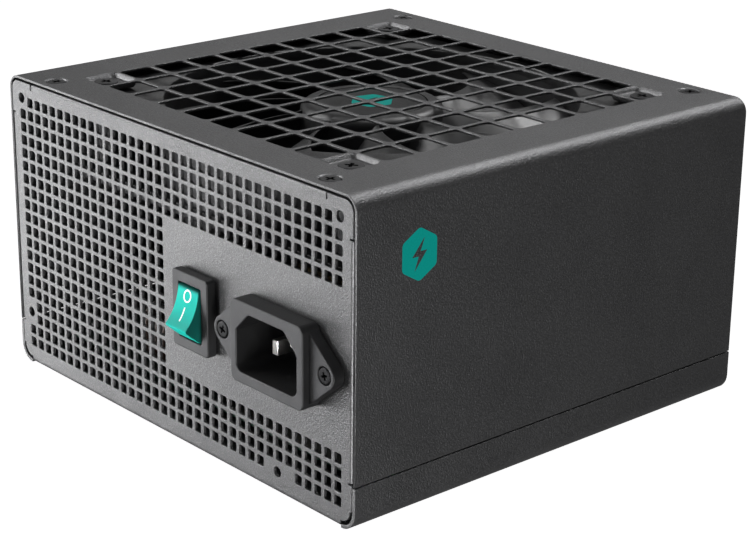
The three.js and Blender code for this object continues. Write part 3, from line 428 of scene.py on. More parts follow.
def arc(x, y, radius, start, end, steps):
    """Points on an arc; the angles are in degrees."""
    angles = [math.radians(start + (end - start) * i / steps) for i in range(steps + 1)]
    return [(x + radius * math.cos(a), y + radius * math.sin(a)) for a in angles]


def rounded_rectangle(x, y, width, height, radius, steps=3):
    right, top = width / 2 - radius, height / 2 - radius
    corners = [(right, -top, -90), (right, top, 0), (-right, top, 90), (-right, -top, 180)]
    return [p for cx, cy, a in corners for p in arc(x + cx, y + cy, radius, a, a + 90, steps)]


def circle(x, y, radius, steps=24):
    return arc(x, y, radius, 0, 360, steps)[:-1]


def signed_area(loop):
    return sum(a[0] * b[1] - b[0] * a[1] for a, b in zip(loop, loop[1:] + loop[:1])) / 2


def flat_sheet(outline, holes, thickness, edge, edge_steps=1):
    """A flat plate round the XY plane, with rounded edges along its outline and its holes."""
    curve = bpy.data.curves.new("sheet", "CURVE")
    curve.dimensions = "2D"
    curve.fill_mode = "BOTH"
    curve.extrude = thickness / 2 - edge
    curve.bevel_depth = edge
    curve.bevel_resolution = edge_steps
    curve.offset = -edge
    for index, loop in enumerate([outline, *holes]):
        is_hole = index > 0
        if (signed_area(loop) > 0) == is_hole:
            loop = loop[::-1]
        spline = curve.splines.new("POLY")
        spline.points.add(len(loop) - 1)
        for point, (x, y) in zip(spline.points, loop):
            point.co = (x, y, 0, 1)
        spline.use_cyclic_u = True
    mesh = evaluated_mesh(scratch_object(curve), "sheet")
    bm = bmesh.new()
    bm.from_mesh(mesh)
    bmesh.ops.remove_doubles(bm, verts=bm.verts, dist=1e-4)
    bmesh.ops.recalc_face_normals(bm, faces=bm.faces)
    return bm


def weighted_normals(bm):
    """A normal for each vertex, in which large faces count for more than narrow bevels."""
    bm.verts.ensure_lookup_table()
    sums = [sum((f.normal * f.calc_area() for f in v.link_faces), Vector()) for v in bm.verts]
    return [total.normalized() for total in sums]


def sheet_normals(bm, half):
    """A normal for each vertex of a flat sheet: the sheet's own on its two faces, so that only the rounded
    edges shade as round."""
    normals = weighted_normals(bm)
    for i, v in enumerate(bm.verts):
        if abs(v.co.z) > half - SAME_PLACE:
            normals[i] = Vector((0, 0, math.copysign(1, v.co.z)))
    return normals


class FoldedSheet:
    """A flat sheet whose parts are folded up one bend after another, as a press brake does. Normals are
    worked out while it is flat and turn with the bends, so that the faces stay clean."""

    def __init__(self, bm, thickness=SHEET):
        self.bm = bm
        self.half = thickness / 2

    def score(self, axis, lines):
        """Edges across the sheet where a bend will curve it."""
        normal = Vector((1, 0, 0)) if axis == 0 else Vector((0, 1, 0))
        for line in lines:
            near = [f for f in self.bm.faces if self._spans(f, axis, line)]
            geometry = {v for f in near for v in f.verts} | {e for f in near for e in f.edges}
            bmesh.ops.bisect_plane(
                self.bm, geom=[*near, *geometry], plane_co=normal * line, plane_no=normal, dist=1e-5
            )

    @staticmethod
    def _spans(face, axis, line):
        places = [v.co[axis] for v in face.verts]
        return min(places) < line < max(places)

    def freeze(self):
        """Notes where everything is on the flat sheet, once all bends are scored."""
        bmesh.ops.dissolve_degenerate(self.bm, dist=0.004, edges=self.bm.edges[:])
        self.bm.verts.ensure_lookup_table()
        self.flat = [v.co.copy() for v in self.bm.verts]
        self.place = [v.co.copy() for v in self.bm.verts]
        self.normal = sheet_normals(self.bm, self.half)

    def fold(self, axis, line, side, radius, belongs):
        """Folds what lies beyond a line upwards by a right angle, round an outer radius."""
        neutral = radius - self.half
        length = neutral * QUARTER
        for i, place in enumerate(self.place):
            if not belongs(self.flat[i]):
                continue
            beyond = side * (place[axis] - line)
            if beyond <= 0:
                continue
            turn = min(beyond / neutral, QUARTER)
            extra = max(0, beyond - length)
            reach = (neutral - place.z) * math.sin(turn) + extra * math.cos(turn)
            place.z = neutral - (neutral - place.z) * math.cos(turn) + extra * math.sin(turn)
            place[axis] = line + side * reach
            n = self.normal[i]
            along = side * n[axis]
            n[axis] = side * (along * math.cos(turn) - n.z * math.sin(turn))
            n.z = along * math.sin(turn) + n.z * math.cos(turn)

    def mesh(self, name, transform):
        for v, place in zip(self.bm.verts, self.place):
            v.co = transform @ place
        turn = transform.to_3x3()
        normals = [turn @ n for n in self.normal]
        for f in self.bm.faces:
            f.smooth = True
        mesh = mesh_of(self.bm, name)
        mesh.normals_split_custom_set_from_vertices(normals)
        return mesh


def bend_lines(line, side, radius, steps, thickness=SHEET):
    """Where a bend's scores lie on the flat sheet."""
    length = bend_length(radius, thickness)
    return [line + side * length * i / steps for i in range(steps + 1)]


def bend_length(radius, thickness=SHEET):
    """How much of the flat sheet a right-angle bend takes up."""
    return (radius - thickness / 2) * QUARTER


def both_sides(loop):
    """A loop's half at x > 0, from the axis round to the axis, completed by its mirror image."""
    return loop + [(-x, y) for x, y in reversed(loop)]


# ---------------------------------------------------------------- case sheet: rear, base and front

PANEL_FOLD = 1.6
FLANGE_FOLD = 0.65
SIDE_FLANGE = {"low": 13.0, "high": 75.0, "slit": 0.5, "slit_depth": 0.4, "reach": 6.8, "corner": 1.5}
TOP_FLANGE = {"half": 63.85, "reach": 7.4, "corner": 2.0, "notch": 1.7}
RELIEF = {"radius": 3.0, "top": 5.5, "depth": 0.5, "lip": 0.1, "below_fold": 0.2}
FOOT = HALF_WIDTH - BASE_RADIUS
SIDE_LINE = PANEL_HALF - FLANGE_FOLD
SLOT = {"left": 30.2, "right": 48.6, "below": 0.35, "above": 0.5}
FOLD_LINE = -REAR - PANEL_FOLD
PERFORATION = {"side": 2.75, "corner": 0.5, "pitch": 3.81, "columns": 37, "rows": 20, "middle": 43}
BLANK_FIELD = {"left": -2.4, "low": 20, "high": 62}
MOUNTING_HOLES = [(-69, 80, 3), (69, 80, 3), (-69, 16, 3), (45, 6, 5)]
MOUNTING_PAD_HEIGHT = 2.5
HOLE_RADIUS = {"mounting": 1.45, "inlet_screw": 1.85, "cover_screw": 1.8, "cover_dimple": 3.3}
WINDOW = {"clearance": 0.7, "corner": 0.4}


def from_bottom(z):
    """How far from the sheet's middle a height on a panel lies, once the sheet is flat."""
    return FOLD_LINE + bend_length(PANEL_FOLD) + z - PANEL_FOLD

FLANGE_LINE = from_bottom(PANEL_TOP - FLANGE_FOLD)


def case_sheet_outline():
    """The flat sheet: base in the middle, a panel with its flanges at each end, a lip at each side."""
    flange_half, cut = TOP_FLANGE["half"], TOP_FLANGE["corner"]
    end = FLANGE_LINE + bend_length(FLANGE_FOLD) + TOP_FLANGE["reach"]
    top = from_bottom(PANEL_TOP)
    notch = from_bottom(PANEL_TOP - TOP_FLANGE["notch"])
    low, high = from_bottom(SIDE_FLANGE["low"]), from_bottom(SIDE_FLANGE["high"])
    slit, corner = SIDE_FLANGE["slit"], SIDE_FLANGE["corner"]
    slit_end = SIDE_LINE - SIDE_FLANGE["slit_depth"]
    side_end = SIDE_LINE + bend_length(FLANGE_FOLD) + SIDE_FLANGE["reach"]
    shoulder = HALF_WIDTH - COVER_RADIUS
    top_radius = PANEL_HALF - shoulder
    relief, relief_top = RELIEF["radius"], from_bottom(RELIEF["top"])
    relief_end, lip_start = FOOT - RELIEF["depth"], FOOT - RELIEF["lip"]
    below_fold = FOLD_LINE - RELIEF["below_fold"]
    lip_end = FOOT + bend_length(BASE_RADIUS) + LIP_TOP - BASE_RADIUS
    quarter = [
        (0, end),
        (flange_half - cut, end),
        (flange_half, end - cut),
        (flange_half, notch),
        (flange_half + slit, notch),
        (flange_half + slit, top),
        *arc(shoulder, top - top_radius, top_radius, 90, 0, 6),
        (PANEL_HALF, high + slit),
        (slit_end, high + slit),
        (slit_end, high),
        (side_end - corner, high),
        (side_end, high - corner),
        (side_end, low + corner),
        (side_end - corner, low),
        (slit_end, low),
        (slit_end, low - slit),
        (PANEL_HALF, low - slit),
        (PANEL_HALF, relief_top),
        (FOOT + relief, relief_top),
        *arc(FOOT, from_bottom(BASE_RADIUS), relief, 0, -90, 6),
        (relief_end, from_bottom(BASE_RADIUS) - relief),
        (relief_end, below_fold),
        (lip_start, below_fold),
        (lip_start, FRONT),
        (lip_end, FRONT),
    ]
    loop = both_sides(quarter + [(x, -y) for x, y in reversed(quarter)])
    return [point for before, point in zip([None, *loop], loop) if point != before]


def is_perforated(x, z):
    in_field = x > BLANK_FIELD["left"] and BLANK_FIELD["low"] < z < BLANK_FIELD["high"]
    on_pad = any(abs(x - hx) < pad and abs(z - hz) < MOUNTING_PAD_HEIGHT for hx, hz, pad in MOUNTING_HOLES)
    return not in_field and not on_pad


def window(node, size):
    """A hole in a panel with room for a part of some width and height."""
    centre = node_centre(node)
    width, height = (length + WINDOW["clearance"] for length in size)
    return rounded_rectangle(centre.x, centre.z, width, height, WINDOW["corner"])


def rear_holes():
    """Holes in the rear panel as (x, z) loops: mounting holes, switch, inlet, screws and perforation."""
    loops = [circle(x, z, HOLE_RADIUS["mounting"], 20) for x, z, _ in MOUNTING_HOLES]
    loops += [window("switch_housing", SWITCH_BODY), window("inlet_housing", INLET_NECK)]
    for node in ("inlet_screw_1", "inlet_screw_2"):
        centre = node_centre(node)
        loops.append(circle(centre.x, centre.z, HOLE_RADIUS["inlet_screw"], 16))
    side, corner, pitch = (PERFORATION[k] for k in ("side", "corner", "pitch"))
    for row in range(PERFORATION["rows"]):
        for column in range(PERFORATION["columns"]):
            x = (column - (PERFORATION["columns"] - 1) / 2) * pitch
            z = PERFORATION["middle"] + (row - (PERFORATION["rows"] - 1) / 2) * pitch
            if is_perforated(x, z):
                loops.append(rounded_rectangle(x, z, side, side, corner, 2))
    return loops


SOCKET_NODES = [
    "motherboard_socket",
    "processor_socket_1",
    "processor_socket_2",
    "graphics_socket",
    "drive_socket_1",
    "drive_socket_2",
]


def front_holes():
    loops = []
    for node in SOCKET_NODES:
        low, high = cad_box(node)
        loops.append(window(node, (high.x - low.x, high.z - low.z)))
    return loops


def flange_holes():
    """The slot along the rear panel's top fold, and the holes in the flanges for the cover's screws."""
    top = from_bottom(PANEL_TOP)
    low, high = -top - SLOT["above"], -top + SLOT["below"]
    slot = [(SLOT["left"], high), (SLOT["right"], high), (SLOT["right"], low), (SLOT["left"], low)]
    screw = node_centre("cover_screw_1")
    x = abs(screw.x)
    y = FLANGE_LINE + bend_length(FLANGE_FOLD) - REAR - FLANGE_FOLD - abs(screw.y)
    radius = HOLE_RADIUS["cover_screw"]
    return [slot, *(circle(side * x, end * y, radius, 16) for side in (-1, 1) for end in (-1, 1))]


def make_case_sheet():
    holes = [[(x, -from_bottom(z)) for x, z in loop] for loop in rear_holes()]
    holes += [[(x, from_bottom(z)) for x, z in loop] for loop in front_holes()]
    holes += flange_holes()
    sheet = FoldedSheet(flat_sheet(case_sheet_outline(), holes, SHEET, 0.12))
    for side in (-1, 1):
        sheet.score(1, bend_lines(side * FLANGE_LINE, side, FLANGE_FOLD, 4))
        sheet.score(1, bend_lines(side * FOLD_LINE, side, PANEL_FOLD, 5))
        sheet.score(0, bend_lines(side * SIDE_LINE, side, FLANGE_FOLD, 4))
        sheet.score(0, bend_lines(side * FOOT, side, BASE_RADIUS, 9))
    sheet.freeze()
    margin = 0.1
    low, high = from_bottom(SIDE_FLANGE["low"] - margin), from_bottom(SIDE_FLANGE["high"] + margin)
    for side in (-1, 1):
        in_top_flange = lambda p: abs(p.x) < TOP_FLANGE["half"] + margin
        sheet.fold(1, side * FLANGE_LINE, side, FLANGE_FOLD, in_top_flange)
        sheet.fold(0, side * SIDE_LINE, side, FLANGE_FOLD, lambda p: low <= abs(p.y) <= high)
    for side in (-1, 1):
        in_panel = lambda p: abs(p.x) < FOOT - 3 * margin or abs(p.y) > -REAR + margin
        sheet.fold(1, side * FOLD_LINE, side, PANEL_FOLD, in_panel)
        sheet.fold(0, side * FOOT, side, BASE_RADIUS, lambda p: abs(p.y) <= -REAR + margin / 2)
    mesh = sheet.mesh("case_sheet", Matrix.Translation((0, 0, SHEET / 2)))
    place_piece("case_sheet", mesh, "coated_steel", replaces=("base_shell", "rear_panel", "front_panel"))


# ---------------------------------------------------------------- top cover

GRILLE = {"cells": 10, "pitch": 11.5, "opening": 10.3, "corner": 1.6}
POCKET = {"mouth": 11.0, "corner": 1.8, "floor": 9.7, "drop": 1.3, "wall": 0.8}
COVER_EDGE_ROUND = 0.2
COVER_INSET = 0.04
DIMPLE = [(3.42, -0.5), (3.42, -0.1), (3.34, 0), (3.18, -0.04), (2.78, -0.42), (2.76, -0.68), (3.1, -0.68)]
DIMPLE_SINK = 0.06


def grille_places():
    """The middles of the grille's openings, and of the pockets at its four corners."""
    last = (GRILLE["cells"] - 1) / 2
    edge = last * GRILLE["pitch"]
    steps = [(i - last) * GRILLE["pitch"] for i in range(GRILLE["cells"])]
    places = [(x, y) for x in steps for y in steps]
    corners = [(x, y) for x, y in places if abs(x) == edge and abs(y) == edge]
    return [place for place in places if place not in corners], corners


def make_cover():
    opening, mouth = GRILLE["opening"], POCKET["mouth"]
    cells, pockets = grille_places()
    holes = [rounded_rectangle(x, y, opening, opening, GRILLE["corner"], 4) for x, y in cells]
    holes += [rounded_rectangle(x, y, mouth, mouth, POCKET["corner"], 4) for x, y in pockets]
    for i in range(1, 5):
        centre = node_centre(f"cover_screw_{i}")
        holes.append(circle(centre.x, centre.y, HOLE_RADIUS["cover_dimple"], 28))
    fold = HALF_WIDTH - COVER_RADIUS - COVER_INSET
    side_end = fold + bend_length(COVER_RADIUS, COVER_SHEET) + TOP - COVER_RADIUS - COVER_EDGE
    outline = [(-side_end, REAR), (side_end, REAR), (side_end, FRONT), (-side_end, FRONT)]
    sheet = FoldedSheet(flat_sheet(outline, holes, COVER_SHEET, COVER_EDGE_ROUND, 2), COVER_SHEET)
    for side in (-1, 1):
        sheet.score(0, bend_lines(side * fold, side, COVER_RADIUS, 9, COVER_SHEET))
    sheet.freeze()
    for side in (-1, 1):
        sheet.fold(0, side * fold, side, COVER_RADIUS, lambda p: True)
    upside_down = Matrix.Rotation(math.pi, 4, "Y")
    mesh = sheet.mesh("cover_sheet", Matrix.Translation((0, 0, TOP - COVER_SHEET / 2)) @ upside_down)
    nodes = ("top_cover", "cover_left_side", "cover_right_side")
    place_piece("cover_sheet", mesh, "coated_steel", replaces=nodes)


def make_pockets():
    """The pressed pockets at the grille's corners, which hold the fan screws below the roof. Each is drawn
    as rings of (half its width, height, corner radius), from its rim to its floor and back underneath."""
    _, corners = grille_places()
    mouth, floor, wall = POCKET["mouth"] / 2, POCKET["floor"] / 2, POCKET["wall"]
    roof, bottom = TOP - 0.12, TOP - POCKET["drop"]
    sizes = [
        (mouth + 0.3, roof - 0.75, 2.0),
        (mouth + 0.02, roof - 0.1, 1.8),
        (mouth - 0.12, roof - 0.02, 1.7),
        (mouth - 0.26, roof - 0.1, 1.65),
        (floor + 0.09, bottom + 0.15, 1.4),
        (floor - 0.05, bottom + 0.03, 1.2),
        (floor - 0.4, bottom, 1.1),
        (2.35, bottom, 2.34),
        (2.25, bottom - 0.15, 2.24),
        (2.25, bottom - wall, 2.24),
        (floor + 0.2, bottom - wall, 1.2),
        (floor + 0.6, bottom - wall + 0.5, 1.6),
    ]
    for index, (x, y) in enumerate(corners, 1):
        screw = node_centre(f"fan_screw_{fan_screw_at(x, y)}")
        rings = []
        for half, z, radius in [*sizes, sizes[0]]:
            is_screw_hole = radius > 0.99 * half
            cx, cy = (screw.x, screw.y) if is_screw_hole else (x, y)
            loop = rounded_rectangle(cx, cy, 2 * half, 2 * half, radius, 6)
            rings.append([(px, py, z) for px, py in loop])
        mesh = shaded_mesh(loft(rings, caps=False), "pocket", 50)
        place_piece(f"grille_pocket_{index}", mesh, "coated_steel")


def make_screw_dimples():
    """The countersunk rings that the cover screws' heads sit in."""
    profile = [(radius, TOP - DIMPLE_SINK + height) for radius, height in [*DIMPLE, DIMPLE[0]]]
    for i in range(1, 5):
        centre = node_centre(f"cover_screw_{i}")
        mesh = shaded_mesh(lathe(profile, centre.x, centre.y, 40), "dimple", 50)
        place_piece(f"screw_dimple_{i}", mesh, "coated_steel")


def fan_screw_at(x, y):
    """The number of the fan screw in the same corner as a point."""
    for i in range(1, 5):
        centre = node_centre(f"fan_screw_{i}")
        if centre.x * x > 0 and centre.y * y > 0:
            return i
    raise ValueError("no fan screw in that corner")


def shade(bm, angle):
    """Smooth shading, with sharp edges where faces meet at more than an angle in degrees."""
    for f in bm.faces:
        f.smooth = True
    for e in bm.edges:
        if len(e.link_faces) == 2 and e.calc_face_angle() > math.radians(angle):
            e.smooth = False


def eased(points, radius, steps=3, closed=False):
    """A path whose corners are rounded off, starting at most a radius before and after each corner."""
    result = []
    for i, point in enumerate(points):
        if not closed and i in (0, len(points) - 1):
            result.append(tuple(point))
            continue
        corner = Vector(point)
        before, after = Vector(points[i - 1]), Vector(points[(i + 1) % len(points)])
        start = corner + (before - corner).normalized() * min(radius, (before - corner).length / 2)
        end = corner + (after - corner).normalized() * min(radius, (after - corner).length / 2)
        for k in range(steps + 1):
            t = k / steps
            result.append(tuple(start * (1 - t) ** 2 + corner * 2 * t * (1 - t) + end * t * t))
    return result


def loft(rings, caps=True):
    """Skins rings that all have the same number of points."""
    bm = bmesh.new()
    made = [[bm.verts.new(p) for p in ring] for ring in rings]
    for a, b in zip(made, made[1:]):
        for i in range(len(a)):
            j = (i + 1) % len(a)
            bm.faces.new((a[i], a[j], b[j], b[i]))
    if caps:
        bm.faces.new(made[0])
        bm.faces.new(made[-1])
    return bm


def lathe(profile, x=0, y=0, steps=48):
    """Turns a profile of (radius, height) pairs round a vertical axis."""
    bm = bmesh.new()
    angles = [2 * math.pi * i / steps for i in range(steps)]
    previous = None
    for radius, z in profile:
        count = 1 if radius == 0 else steps
        places = [(x + radius * math.cos(a), y + radius * math.sin(a), z) for a in angles[:count]]
        ring = [bm.verts.new(place) for place in places]
        if previous:
            for i in range(steps):
                j = (i + 1) % steps
                below = [previous[k % len(previous)] for k in (i, j)]
                above = [ring[k % count] for k in (j, i)]
                bm.faces.new(list(dict.fromkeys([*below, *above])))
        previous = ring
    return bm


def tube(inner, outer, low, high, x=0, y=0, steps=48):
    return lathe([(inner, low), (outer, low), (outer, high), (inner, high), (inner, low)], x, y, steps)


def disc(radius, low, high, rounding, x=0, y=0, steps=48):
    return lathe(eased([(0, low), (radius, low), (radius, high), (0, high)], rounding), x, y, steps)


def prong(x, z, sections):
    """A bar along Y, drawn as sections of (y, half its width, half its height, corner radius)."""
    rings = []
    for y, w, h, radius in sections:
        rings.append([(px, y, pz) for px, pz in rounded_rectangle(x, z, 2 * w, 2 * h, radius)])
    return loft(rings)


def moved(bm, matrix):
    bmesh.ops.transform(bm, matrix=matrix, verts=bm.verts)
    return bm


def merged(*meshes):
    """One bmesh with the geometry of several, which are used up."""
    whole = bmesh.new()
    for bm in meshes:
        data = bpy.data.meshes.new("scratch")
        bm.to_mesh(data)
        bm.free()
        whole.from_mesh(data)
        bpy.data.meshes.remove(data)
    return whole


def solid_mesh(bm, name):
    """A smooth mesh whose large faces stay flat, while its narrow bevels round off between them."""
    bmesh.ops.recalc_face_normals(bm, faces=bm.faces)
    normals = weighted_normals(bm)
    for f in bm.faces:
        f.smooth = True
    mesh = mesh_of(bm, name)
    mesh.normals_split_custom_set_from_vertices(normals)
    return mesh


def shaded_mesh(bm, name, angle):
    """A smooth mesh with sharp edges where faces meet at more than an angle in degrees."""
    bmesh.ops.remove_doubles(bm, verts=bm.verts, dist=SAME_PLACE)
    bmesh.ops.recalc_face_normals(bm, faces=bm.faces)
    shade(bm, angle)
    return mesh_of(bm, name)


def facing_rear(outline, holes, front, back, edge, edge_steps=2):
    """A plate in X and Z between two Y planes, with rounded edges."""
    bm = flat_sheet(outline, holes, back - front, edge, edge_steps)
    return moved(bm, Matrix.Translation((0, (front + back) / 2, 0)) @ Matrix.Rotation(QUARTER, 4, "X"))


def facing_up(outline, holes, low, high, edge, edge_steps=2):
    bm = flat_sheet(outline, holes, high - low, edge, edge_steps)
    return moved(bm, Matrix.Translation((0, 0, (low + high) / 2)))


def cut_off(bm, axis, place, keep):
    """Removes what lies beyond a plane, and leaves the cut open. keep is 1 for the higher side."""
    normal = Vector([1.0 if i == axis else 0.0 for i in range(3)])
    whole = [*bm.verts, *bm.edges, *bm.faces]
    sides = {"clear_inner": keep > 0, "clear_outer": keep < 0}
    bmesh.ops.bisect_plane(bm, geom=whole, plane_co=normal * place, plane_no=normal, **sides)


# ---------------------------------------------------------------- screws


def boolean_cut(mesh, cutter):
    """The mesh with another one cut out of it."""
    thing, tool = scratch_object(mesh), scratch_object(cutter)
    modifier = thing.modifiers.new("cut", "BOOLEAN")
    modifier.operation = "DIFFERENCE"
    modifier.solver = "EXACT"
    modifier.object = tool
    result = evaluated_mesh(thing, mesh.name)
    bpy.data.objects.remove(tool)
    return result


def plus_outline(reach, width):
    """A plus sign, as its corners."""
    arm = [(width, -width), (reach, -width), (reach, width)]
    turns = [Matrix.Rotation(QUARTER * i, 2) for i in range(4)]
    return [tuple(turn @ Vector(p)) for turn in turns for p in arm]


def cross_recess(reach, depth):
    """The cutting shape of a Phillips recess whose mouth is at height 0."""
    sizes = ((0.3, reach, 0.27 * reach), (-depth, 0.5 * reach, 0.18 * reach))
    bm = loft([[(x, y, z) for x, y in plus_outline(half, width)] for z, half, width in sizes])
    bmesh.ops.recalc_face_normals(bm, faces=bm.faces)
    return mesh_of(bm, "recess")


def screw_mesh(name, head, head_height, shank, length, cone=0.0):
    """A screw along Z with the top of its head at height 0."""
    top = [(0, 0), (head - 0.1, -0.02), (head, -0.3)]
    profile = eased([*top, (head - cone, -head_height), (shank, -head_height)], 0.35)
    z = -head_height - THREAD_PITCH / 2
    while z > -length + THREAD_PITCH:
        profile += [(shank, z), (shank * 0.8, z - THREAD_PITCH / 2)]
        z -= THREAD_PITCH
    profile += [(shank * 0.6, -length), (0, -length)]
    bm = lathe(profile, steps=32)
    bmesh.ops.recalc_face_normals(bm, faces=bm.faces)
    cut = boolean_cut(mesh_of(bm, name), cross_recess(head * 0.57, head_height + 0.9))
    bm = bmesh.new()
    bm.from_mesh(cut)
    bmesh.ops.recalc_face_normals(bm, faces=bm.faces)
    shade(bm, 32)
    return mesh_of(bm, name)


SCREWS = {
    "cover_screw": {"head": 2.7, "head_height": 0.9, "shank": 1.4, "length": 6.2, "cone": 0.2},
    "fan_screw": {"head": 3.4, "head_height": 0.5, "shank": 1.8, "length": 11.0, "cone": 0.6},
    "inlet_screw": {"head": 2.15, "head_height": 1.2, "shank": 1.4, "length": 7.0, "cone": 0.5},
}
SCREW_COUNTS = {"cover_screw": 4, "fan_screw": 4, "inlet_screw": 2}
SCREW_SINKS = {"cover_screw": -0.35, "fan_screw": 0.2}
THREAD_PITCH = 0.8


def make_screws():
    dice = random.Random(4)
    for family, size in SCREWS.items():
        for i in range(1, SCREW_COUNTS[family] + 1):
            node = f"{family}_{i}"
            low, high = cad_box(node)
            middle = node_centre(node)
            turn = Matrix.Rotation(dice.uniform(0, QUARTER), 4, "Z")
            if family == "inlet_screw":
                place = Matrix.Translation((middle.x, low.y, middle.z)) @ Matrix.Rotation(QUARTER, 4, "X")
            else:
                place = Matrix.Translation((middle.x, middle.y, high.z - SCREW_SINKS[family]))
            mesh = screw_mesh(f"{node}_steel", **size)
            mesh.transform(place @ turn)
            place_piece(f"{node}_steel", mesh, "black_screw", replaces=[node])


# ---------------------------------------------------------------- fan

FAN = {"half": 59.9, "corner": 4, "flange": 3.5, "bore": 57.3, "wall": 59, "hole": 52.5, "hole_radius": 2.15}
FAN_TOP = cad_box("fan_frame")[1].z
FAN_LOW = cad_box("fan_frame")[0].z
HUB = {"radius": 20, "wall": 1.5, "top": 81.8, "low": 61.5, "shoulder": 2.6, "label": 15.2}
BLADE = {"count": 9, "root": 19.4, "tip": 56.2, "top": 80.3, "low": 62.2, "thickness": 1.3, "start": -10}
BLADE_SHAPE = {
    "root_chord": 28,
    "tip_chord": 36,
    "sweep": 22,
    "sweep_power": 1.5,
    "flatter": 0.25,
    "camber": 1.6,
    "edge": 0.12,
    "fillet": 1.1,
    "fillet_share": 9,
}
BLADE_STEPS = {"radial": 14, "chord": 12}


def fan_corner_post(x, y):
    """A screw boss that joins the frame's two flanges at a corner."""
    inner, overlap = FAN["hole_radius"], 0.2
    low, high = FAN_LOW + FAN["flange"] - overlap, FAN_TOP - FAN["flange"] + overlap
    return tube(inner, inner + 1.6, low, high, x, y, 20)


def fan_arm(angle):
    """One of the arms under the motor, with a rounded top."""
    rings = []
    for radius, width in ((HUB["radius"] - 1, 3.4), (30, 2.6), (48, 2.4), (FAN["bore"] + 0.8, 3.6)):
        section = eased([(-width, 0), (width, 0), (width - 0.9, 2.4), (-width + 0.9, 2.4)], 0.6, 2, True)
        rings.append([(radius, across, FAN_LOW + z) for across, z in section])
    return moved(loft(rings), Matrix.Rotation(math.radians(angle), 4, "Z"))


def make_fan_frame():
    half, hole, flange = FAN["half"], FAN["hole"], FAN["flange"]
    corners = [(x, y) for x in (-hole, hole) for y in (-hole, hole)]
    outline = rounded_rectangle(0, 0, 2 * half, 2 * half, FAN["corner"], 6)
    holes = [circle(0, 0, FAN["bore"], 96)]
    holes += [circle(x, y, FAN["hole_radius"], 16) for x, y in corners]
    flanges = [facing_up(outline, holes, low, low + flange, 0.5) for low in (FAN_LOW, FAN_TOP - flange)]
    wall = tube(FAN["bore"] + 0.05, FAN["wall"], FAN_LOW + 1, FAN_TOP - 1, steps=96)
    seat = disc(HUB["radius"] + 1, FAN_LOW, FAN_LOW + 2, 0.6)
    sleeve = tube(4.2, 5.6, FAN_LOW + 1.5, 74, steps=32)
    posts = [fan_corner_post(x, y) for x, y in corners]
    arms = [fan_arm(angle) for angle in (45, 135, 225, 315)]
    whole = merged(*flanges, wall, seat, sleeve, *posts, *arms)
    mesh = shaded_mesh(whole, "fan_frame_moulding", 50)
    place_piece("fan_frame_moulding", mesh, "fan_plastic", replaces=["fan_frame", "fan_motor_seat"])


def blade_point(outwards, along, side):
    """A point on a blade. outwards runs from root to tip and along from the low edge to the high one."""
    shape = BLADE_SHAPE
    radius = BLADE["root"] + (BLADE["tip"] - BLADE["root"]) * outwards
    chord = shape["root_chord"] + (shape["tip_chord"] - shape["root_chord"]) * outwards
    sweep = shape["sweep"] * outwards ** shape["sweep_power"]
    angle = math.radians(BLADE["start"] + sweep + along * chord)
    middle = (BLADE["top"] + BLADE["low"]) / 2
    span = (BLADE["top"] - BLADE["low"] - BLADE["thickness"]) * (1 - shape["flatter"] * outwards)
    camber = shape["camber"] * (1 - (2 * along) ** 2)
    half = BLADE["thickness"] / 2 * math.sqrt(max(0, 1 - (2 * along) ** 4)) + shape["edge"]
    fillet = shape["fillet"] * max(0, 1 - outwards * shape["fillet_share"]) ** 2
    z = min(middle + along * span + camber + side * (half + fillet), BLADE["top"])
    return (radius * math.cos(angle), radius * math.sin(angle), z)


def fan_blade(index):
    steps = BLADE_STEPS["chord"]
    along = [-0.5 * math.cos(math.pi * i / steps) for i in range(steps + 1)]
    rings = []
    for i in range(BLADE_STEPS["radial"] + 1):
        outwards = i / BLADE_STEPS["radial"]
        over = [blade_point(outwards, a, 1) for a in along]
        under = [blade_point(outwards, a, -1) for a in reversed(along)]
        rings.append(over + under)
    return moved(loft(rings), Matrix.Rotation(2 * math.pi * index / BLADE["count"], 4, "Z"))


def make_impeller():
    radius, top, low = HUB["radius"], HUB["top"], HUB["low"]
    shoulder = arc(radius - HUB["shoulder"], top - HUB["shoulder"], HUB["shoulder"], 0, 90, 8)
    recess = HUB["label"] + 0.4
    inside = [(recess, top), (recess, top - 0.6), (0, top - 0.6)]
    hub = lathe([(radius - 0.3, low), (radius, low + 0.3), *shoulder, *inside], steps=72)
    inner = radius - HUB["wall"]
    underside = [(0, top - 2), (inner - 1, top - 2), (inner, top - 3), (inner, low), (radius - 0.3, low)]
    blades = [fan_blade(i) for i in range(BLADE["count"])]
    whole = merged(hub, lathe(underside, steps=72), *blades)
    mesh = shaded_mesh(whole, "fan_impeller_moulding", 42)
    place_piece("fan_impeller_moulding", mesh, "fan_plastic", "fan_rotor", ["fan_impeller"])


def make_hub_label():
    label = disc(HUB["label"], HUB["top"] - 0.3, HUB["top"] - 0.02, 0.08, steps=64)
    place_piece("hub_disc", shaded_mesh(label, "hub_disc", 40), "hub_label", "fan_rotor", ["fan_hub_label"])


# ---------------------------------------------------------------- printed marks

BOLT = [(0.16, 0.34), (-0.24, -0.04), (-0.03, -0.04), (-0.16, -0.34), (0.24, 0.06), (0.03, 0.06)]


def mark_plate(width, height, thickness):
    """A hexagon with a lightning bolt left open in it, in X and Y round the origin."""
    hexagon = [(0, 0.5), (-0.5, 0.26), (-0.5, -0.26), (0, -0.5), (0.5, -0.26), (0.5, 0.26)]
    outline = eased([(x * width, y * height) for x, y in hexagon], 0.9, 4, True)
    bolt = eased([(x * width * 0.9, y * height * 0.9) for x, y in BOLT], 0.2, 2, True)
    return flat_sheet(outline, [bolt], thickness, thickness * 0.3)


